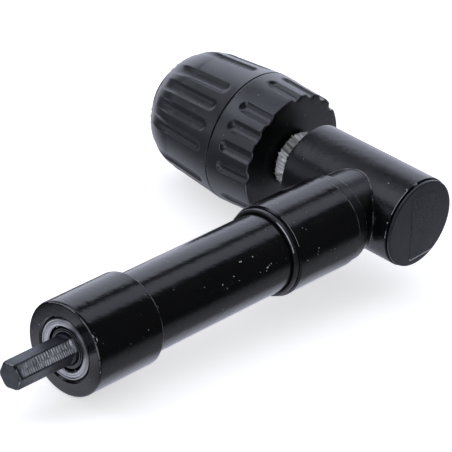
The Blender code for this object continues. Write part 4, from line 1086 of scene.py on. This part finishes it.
def slice_off(bm, point, normal):
    geometry = bm.verts[:] + bm.edges[:] + bm.faces[:]
    result = bmesh.ops.bisect_plane(bm, geom=geometry, plane_co=point, plane_no=normal, clear_outer=True)
    edges = [item for item in result["geom_cut"] if isinstance(item, bmesh.types.BMEdge)]
    bmesh.ops.edgeloop_fill(bm, edges=edges)


def jaws():
    """Round rods, cut off square to the spindle and ground to a wedge where they grip."""
    to_spindle = Matrix.Rotation(JAW_TILT, 3, "Y")
    inward = to_spindle @ Vector((-1, 0, 0))
    middle = Matrix.Translation((0, 0, -JAW_LENGTH / 2 + JAW_RADIUS))
    for index, letter in enumerate("abc"):
        bm = bmesh.new()
        bmesh.ops.create_cone(bm, cap_ends=True, segments=64, radius1=JAW_RADIUS, radius2=JAW_RADIUS,
                              depth=JAW_LENGTH + 2 * JAW_RADIUS, matrix=middle)
        slice_off(bm, Vector(), to_spindle @ Vector((0, 0, 1)))
        slice_off(bm, inward * JAW_FLAT, inward)
        ridge = inward * (JAW_FLAT + JAW_RIDGE / math.tan(WEDGE))
        for side in (-1, 1):
            slice_off(bm, ridge, to_spindle @ Vector((-math.sin(WEDGE), side * math.cos(WEDGE), 0)))
        bm.transform(Matrix.Scale(MM, 4) @ jaw_matrix(index))
        bmesh.ops.recalc_face_normals(bm, faces=bm.faces)
        node = "jaw_%d" % (index + 1)
        mesh = bpy.data.meshes.new(node + "_fine")
        bm.to_mesh(mesh)
        bm.free()
        jaw = new_object(node + "_fine", mesh)
        shade(jaw)
        finish(jaw, GEAR_STEEL, "jaw_" + letter, "gear_steel", node)


def inner_nodes():
    """Every CAD node that stays gets a worked material for its slot."""
    slots = {item["node"]: item["material_slot"] for item in frame["record"]["subparts"]}
    for name, thing in frame["nodes"].items():
        thing.data.materials.clear()
        thing.data.materials.append(SLOT_MATERIAL[slots[name]])


# Studio, in metres


LIGHT_TINT = (0.93, 0.98, 1.17)
SEEN_GLOW = 0.6
AMBIENT = 0.3
MIRRORED_AMBIENT = 0.05
FLOOR_SLOPE = math.radians(3.31)
FLOOR_LEVEL = -0.0226
FLOOR_REACH = 6.0


def floor_white():
    """White ground. The camera sees it lit up to white around the object's shadow.

    In the gloss paint it is painted dimmer towards the camera, with a painted glow behind the handle,
    painted shade beside the chuck, the head and beyond the collar's face, and a painted shadow before the
    shank.
    """
    m = material("floor_white")
    path = m.make("LightPath", {})
    mirrored = path["Is Glossy Ray"]
    x, y = m.axes()[:2]
    # Painted shade: what gloss mirrors of the floor beside the chuck is dimmed
    beside_chuck = m.times(m.fade(x, -44, -6, 1.0, 0.0), m.fade(y, 36, 62))
    dim = m.ramp(y, (HANDLE_Y - 84) * MM, (HANDLE_Y - 20) * MM, 0.05, 0.93)
    dim = m.times(dim, m.ramp(beside_chuck, 0.0, 1.0, 1.0, 0.08))
    cloud = m.ramp(m.noise(3, 2.0), 0.2, 0.8, 0.90, 0.93)
    share = m.mixed(mirrored, cloud, dim)
    gray = m.make("CombineColor", {"Red": share, "Green": share, "Blue": share})["Color"]
    m.connect(gray, "Base Color")
    # Painted reflection: a glow that only gloss sees, behind the handle, weaker beside the head and beyond
    # the collar's face
    behind = m.fade(y, HANDLE_Y - 22, HANDLE_Y - 14, 0.0, 0.72)
    beside_head = m.fade(x, -26, -10, 1.0, 0.6)
    before_face = m.fade(x, -180, -152)
    glow = m.times(m.times(behind, beside_head), m.times(before_face, mirrored))
    glow = m.times(glow, m.ramp(beside_chuck, 0.0, 1.0, 1.0, 0.1))
    # Painted shadow of the shank, in what gloss sees of the floor
    before_shank = m.times(m.fade(x, -149, -141, 1.0, 0.0), m.fade(y, 20, 31, 1.0, 0.0))
    glow = m.times(glow, m.ramp(before_shank, 0.0, 1.0, 1.0, 0.15))
    m.connect(m.plus(glow, m.times(path["Is Camera Ray"], SEEN_GLOW)), "Emission Strength")
    m.connect(m.mix(mirrored, (1.0, 1.0, 1.0), LIGHT_TINT), "Emission Color")
    m.set(Roughness=0.9, Specular_IOR_Level=0.1)
    return m.owner


def floor():
    near, far = -FLOOR_REACH, FLOOR_REACH
    corners = ((near, near), (far, near), (far, far), (near, far))
    places = [(x, y, FLOOR_LEVEL - math.tan(FLOOR_SLOPE) * x) for x, y in corners]
    mesh = bpy.data.meshes.new("floor")
    mesh.from_pydata(places, [], [(0, 1, 2, 3)])
    thing = new_object("floor", mesh)
    mesh.materials.append(floor_white())


def lamp(name, centre, target, width, height, radiance, turn=0.0):
    """Soft box: radiance is what a mirror would see of it, where 1 is white."""
    data = bpy.data.lights.new(name, "AREA")
    data.shape = "RECTANGLE"
    data.size = width
    data.size_y = height
    data.energy = radiance * math.pi * width * height
    data.color = LIGHT_TINT
    thing = new_object(name, data)
    way = (Vector(target) - Vector(centre)).normalized()
    thing.rotation_euler = (way.to_track_quat("-Z", "Y").to_matrix()
                            @ Matrix.Rotation(turn, 3, "Z")).to_euler()
    thing.location = centre


BOX_TURN = math.radians(153.4)
BOX_MIDDLE = (0.296, 0.59)
BOX_HEIGHT = 2.0
BOX_WIDTH = 0.98
# Stretches of the long box overhead: name, start, end and radiance
BOX_PARTS = (("overhead_box_handle", -2.2, 0.9, 1.07), ("overhead_box_head", 0.9, 2.57, 1.6))
# Other lamps: name, centre, target, width, height, radiance
LAMPS = (("back_wall", (1.6, 2.2, 1.25), (0.0, 0.0, 1.25), 4.2, 2.9, 1.45),
         ("side_wall", (-2.4, 1.75, 0.8), (0.0, 0.0, 0.5), 1.6, 1.5, 0.65),
         ("low_box_head", (2.4, -0.35, 0.9), (0.0, 0.0, 0.3), 1.5, 1.3, 1.5),
         ("low_box_collar", (-2.9, -0.1, 0.75), (0.0, 0.0, 0.05), 1.4, 1.3, 1.6))


def studio():
    floor()
    for name, start, end, radiance in BOX_PARTS:
        middle = (start + end) / 2
        x = BOX_MIDDLE[0] + middle * math.cos(BOX_TURN)
        y = BOX_MIDDLE[1] + middle * math.sin(BOX_TURN)
        lamp(name, (x, y, BOX_HEIGHT), (x, y, 0.0), end - start, BOX_WIDTH, radiance, BOX_TURN)
    for box in LAMPS:
        lamp(*box)
    world = bpy.data.worlds.new("studio_world")
    bpy.context.scene.world = world
    w = Nodes(world, "Background")
    path = w.make("LightPath", {})
    seen = w.mixed(path["Is Glossy Ray"], AMBIENT, MIRRORED_AMBIENT)
    w.connect(w.math("MAXIMUM", seen, path["Is Camera Ray"]), "Strength")
    w.set(Color=(1, 1, 1, 1))


CAMERA_AZIMUTH = math.radians(-49.3149)
CAMERA_ELEVATION = math.radians(30.525)
CAMERA_ROLL = math.radians(5.1799)
CAMERA_DISTANCE = 0.919873
CAMERA_ACROSS = -0.045816
CAMERA_UP = -0.008441
LENS = 234.14


def camera():
    scene = bpy.context.scene
    back = Vector((math.sin(CAMERA_AZIMUTH) * math.cos(CAMERA_ELEVATION),
                   -math.cos(CAMERA_AZIMUTH) * math.cos(CAMERA_ELEVATION), math.sin(CAMERA_ELEVATION)))
    level = Vector((math.cos(CAMERA_AZIMUTH), math.sin(CAMERA_AZIMUTH), 0))
    rise = back.cross(level)
    right = level * math.cos(CAMERA_ROLL) + rise * math.sin(CAMERA_ROLL)
    up = rise * math.cos(CAMERA_ROLL) - level * math.sin(CAMERA_ROLL)
    data = bpy.data.cameras.new("camera")
    data.sensor_width = 36
    data.lens = LENS
    data.clip_end = 50
    thing = new_object("camera", data)
    rotation = Matrix((right, up, back)).transposed().to_4x4()
    spot = Vector((0, HANDLE_Y * MM, 0)) + back * CAMERA_DISTANCE
    spot += right * CAMERA_ACROSS + up * CAMERA_UP
    thing.matrix_world = Matrix.Translation(spot) @ rotation
    scene.camera = thing
    scene.view_settings.view_transform = "Standard"


head()
end_cap()
film()
ring_nut()
handle_parts()
front_bearing()
input_shaft()
rear_sleeve()
front_sleeve()
nose_ring()
hub_ring()
chuck_nose()
jaws()
inner_nodes()
studio()
camera()
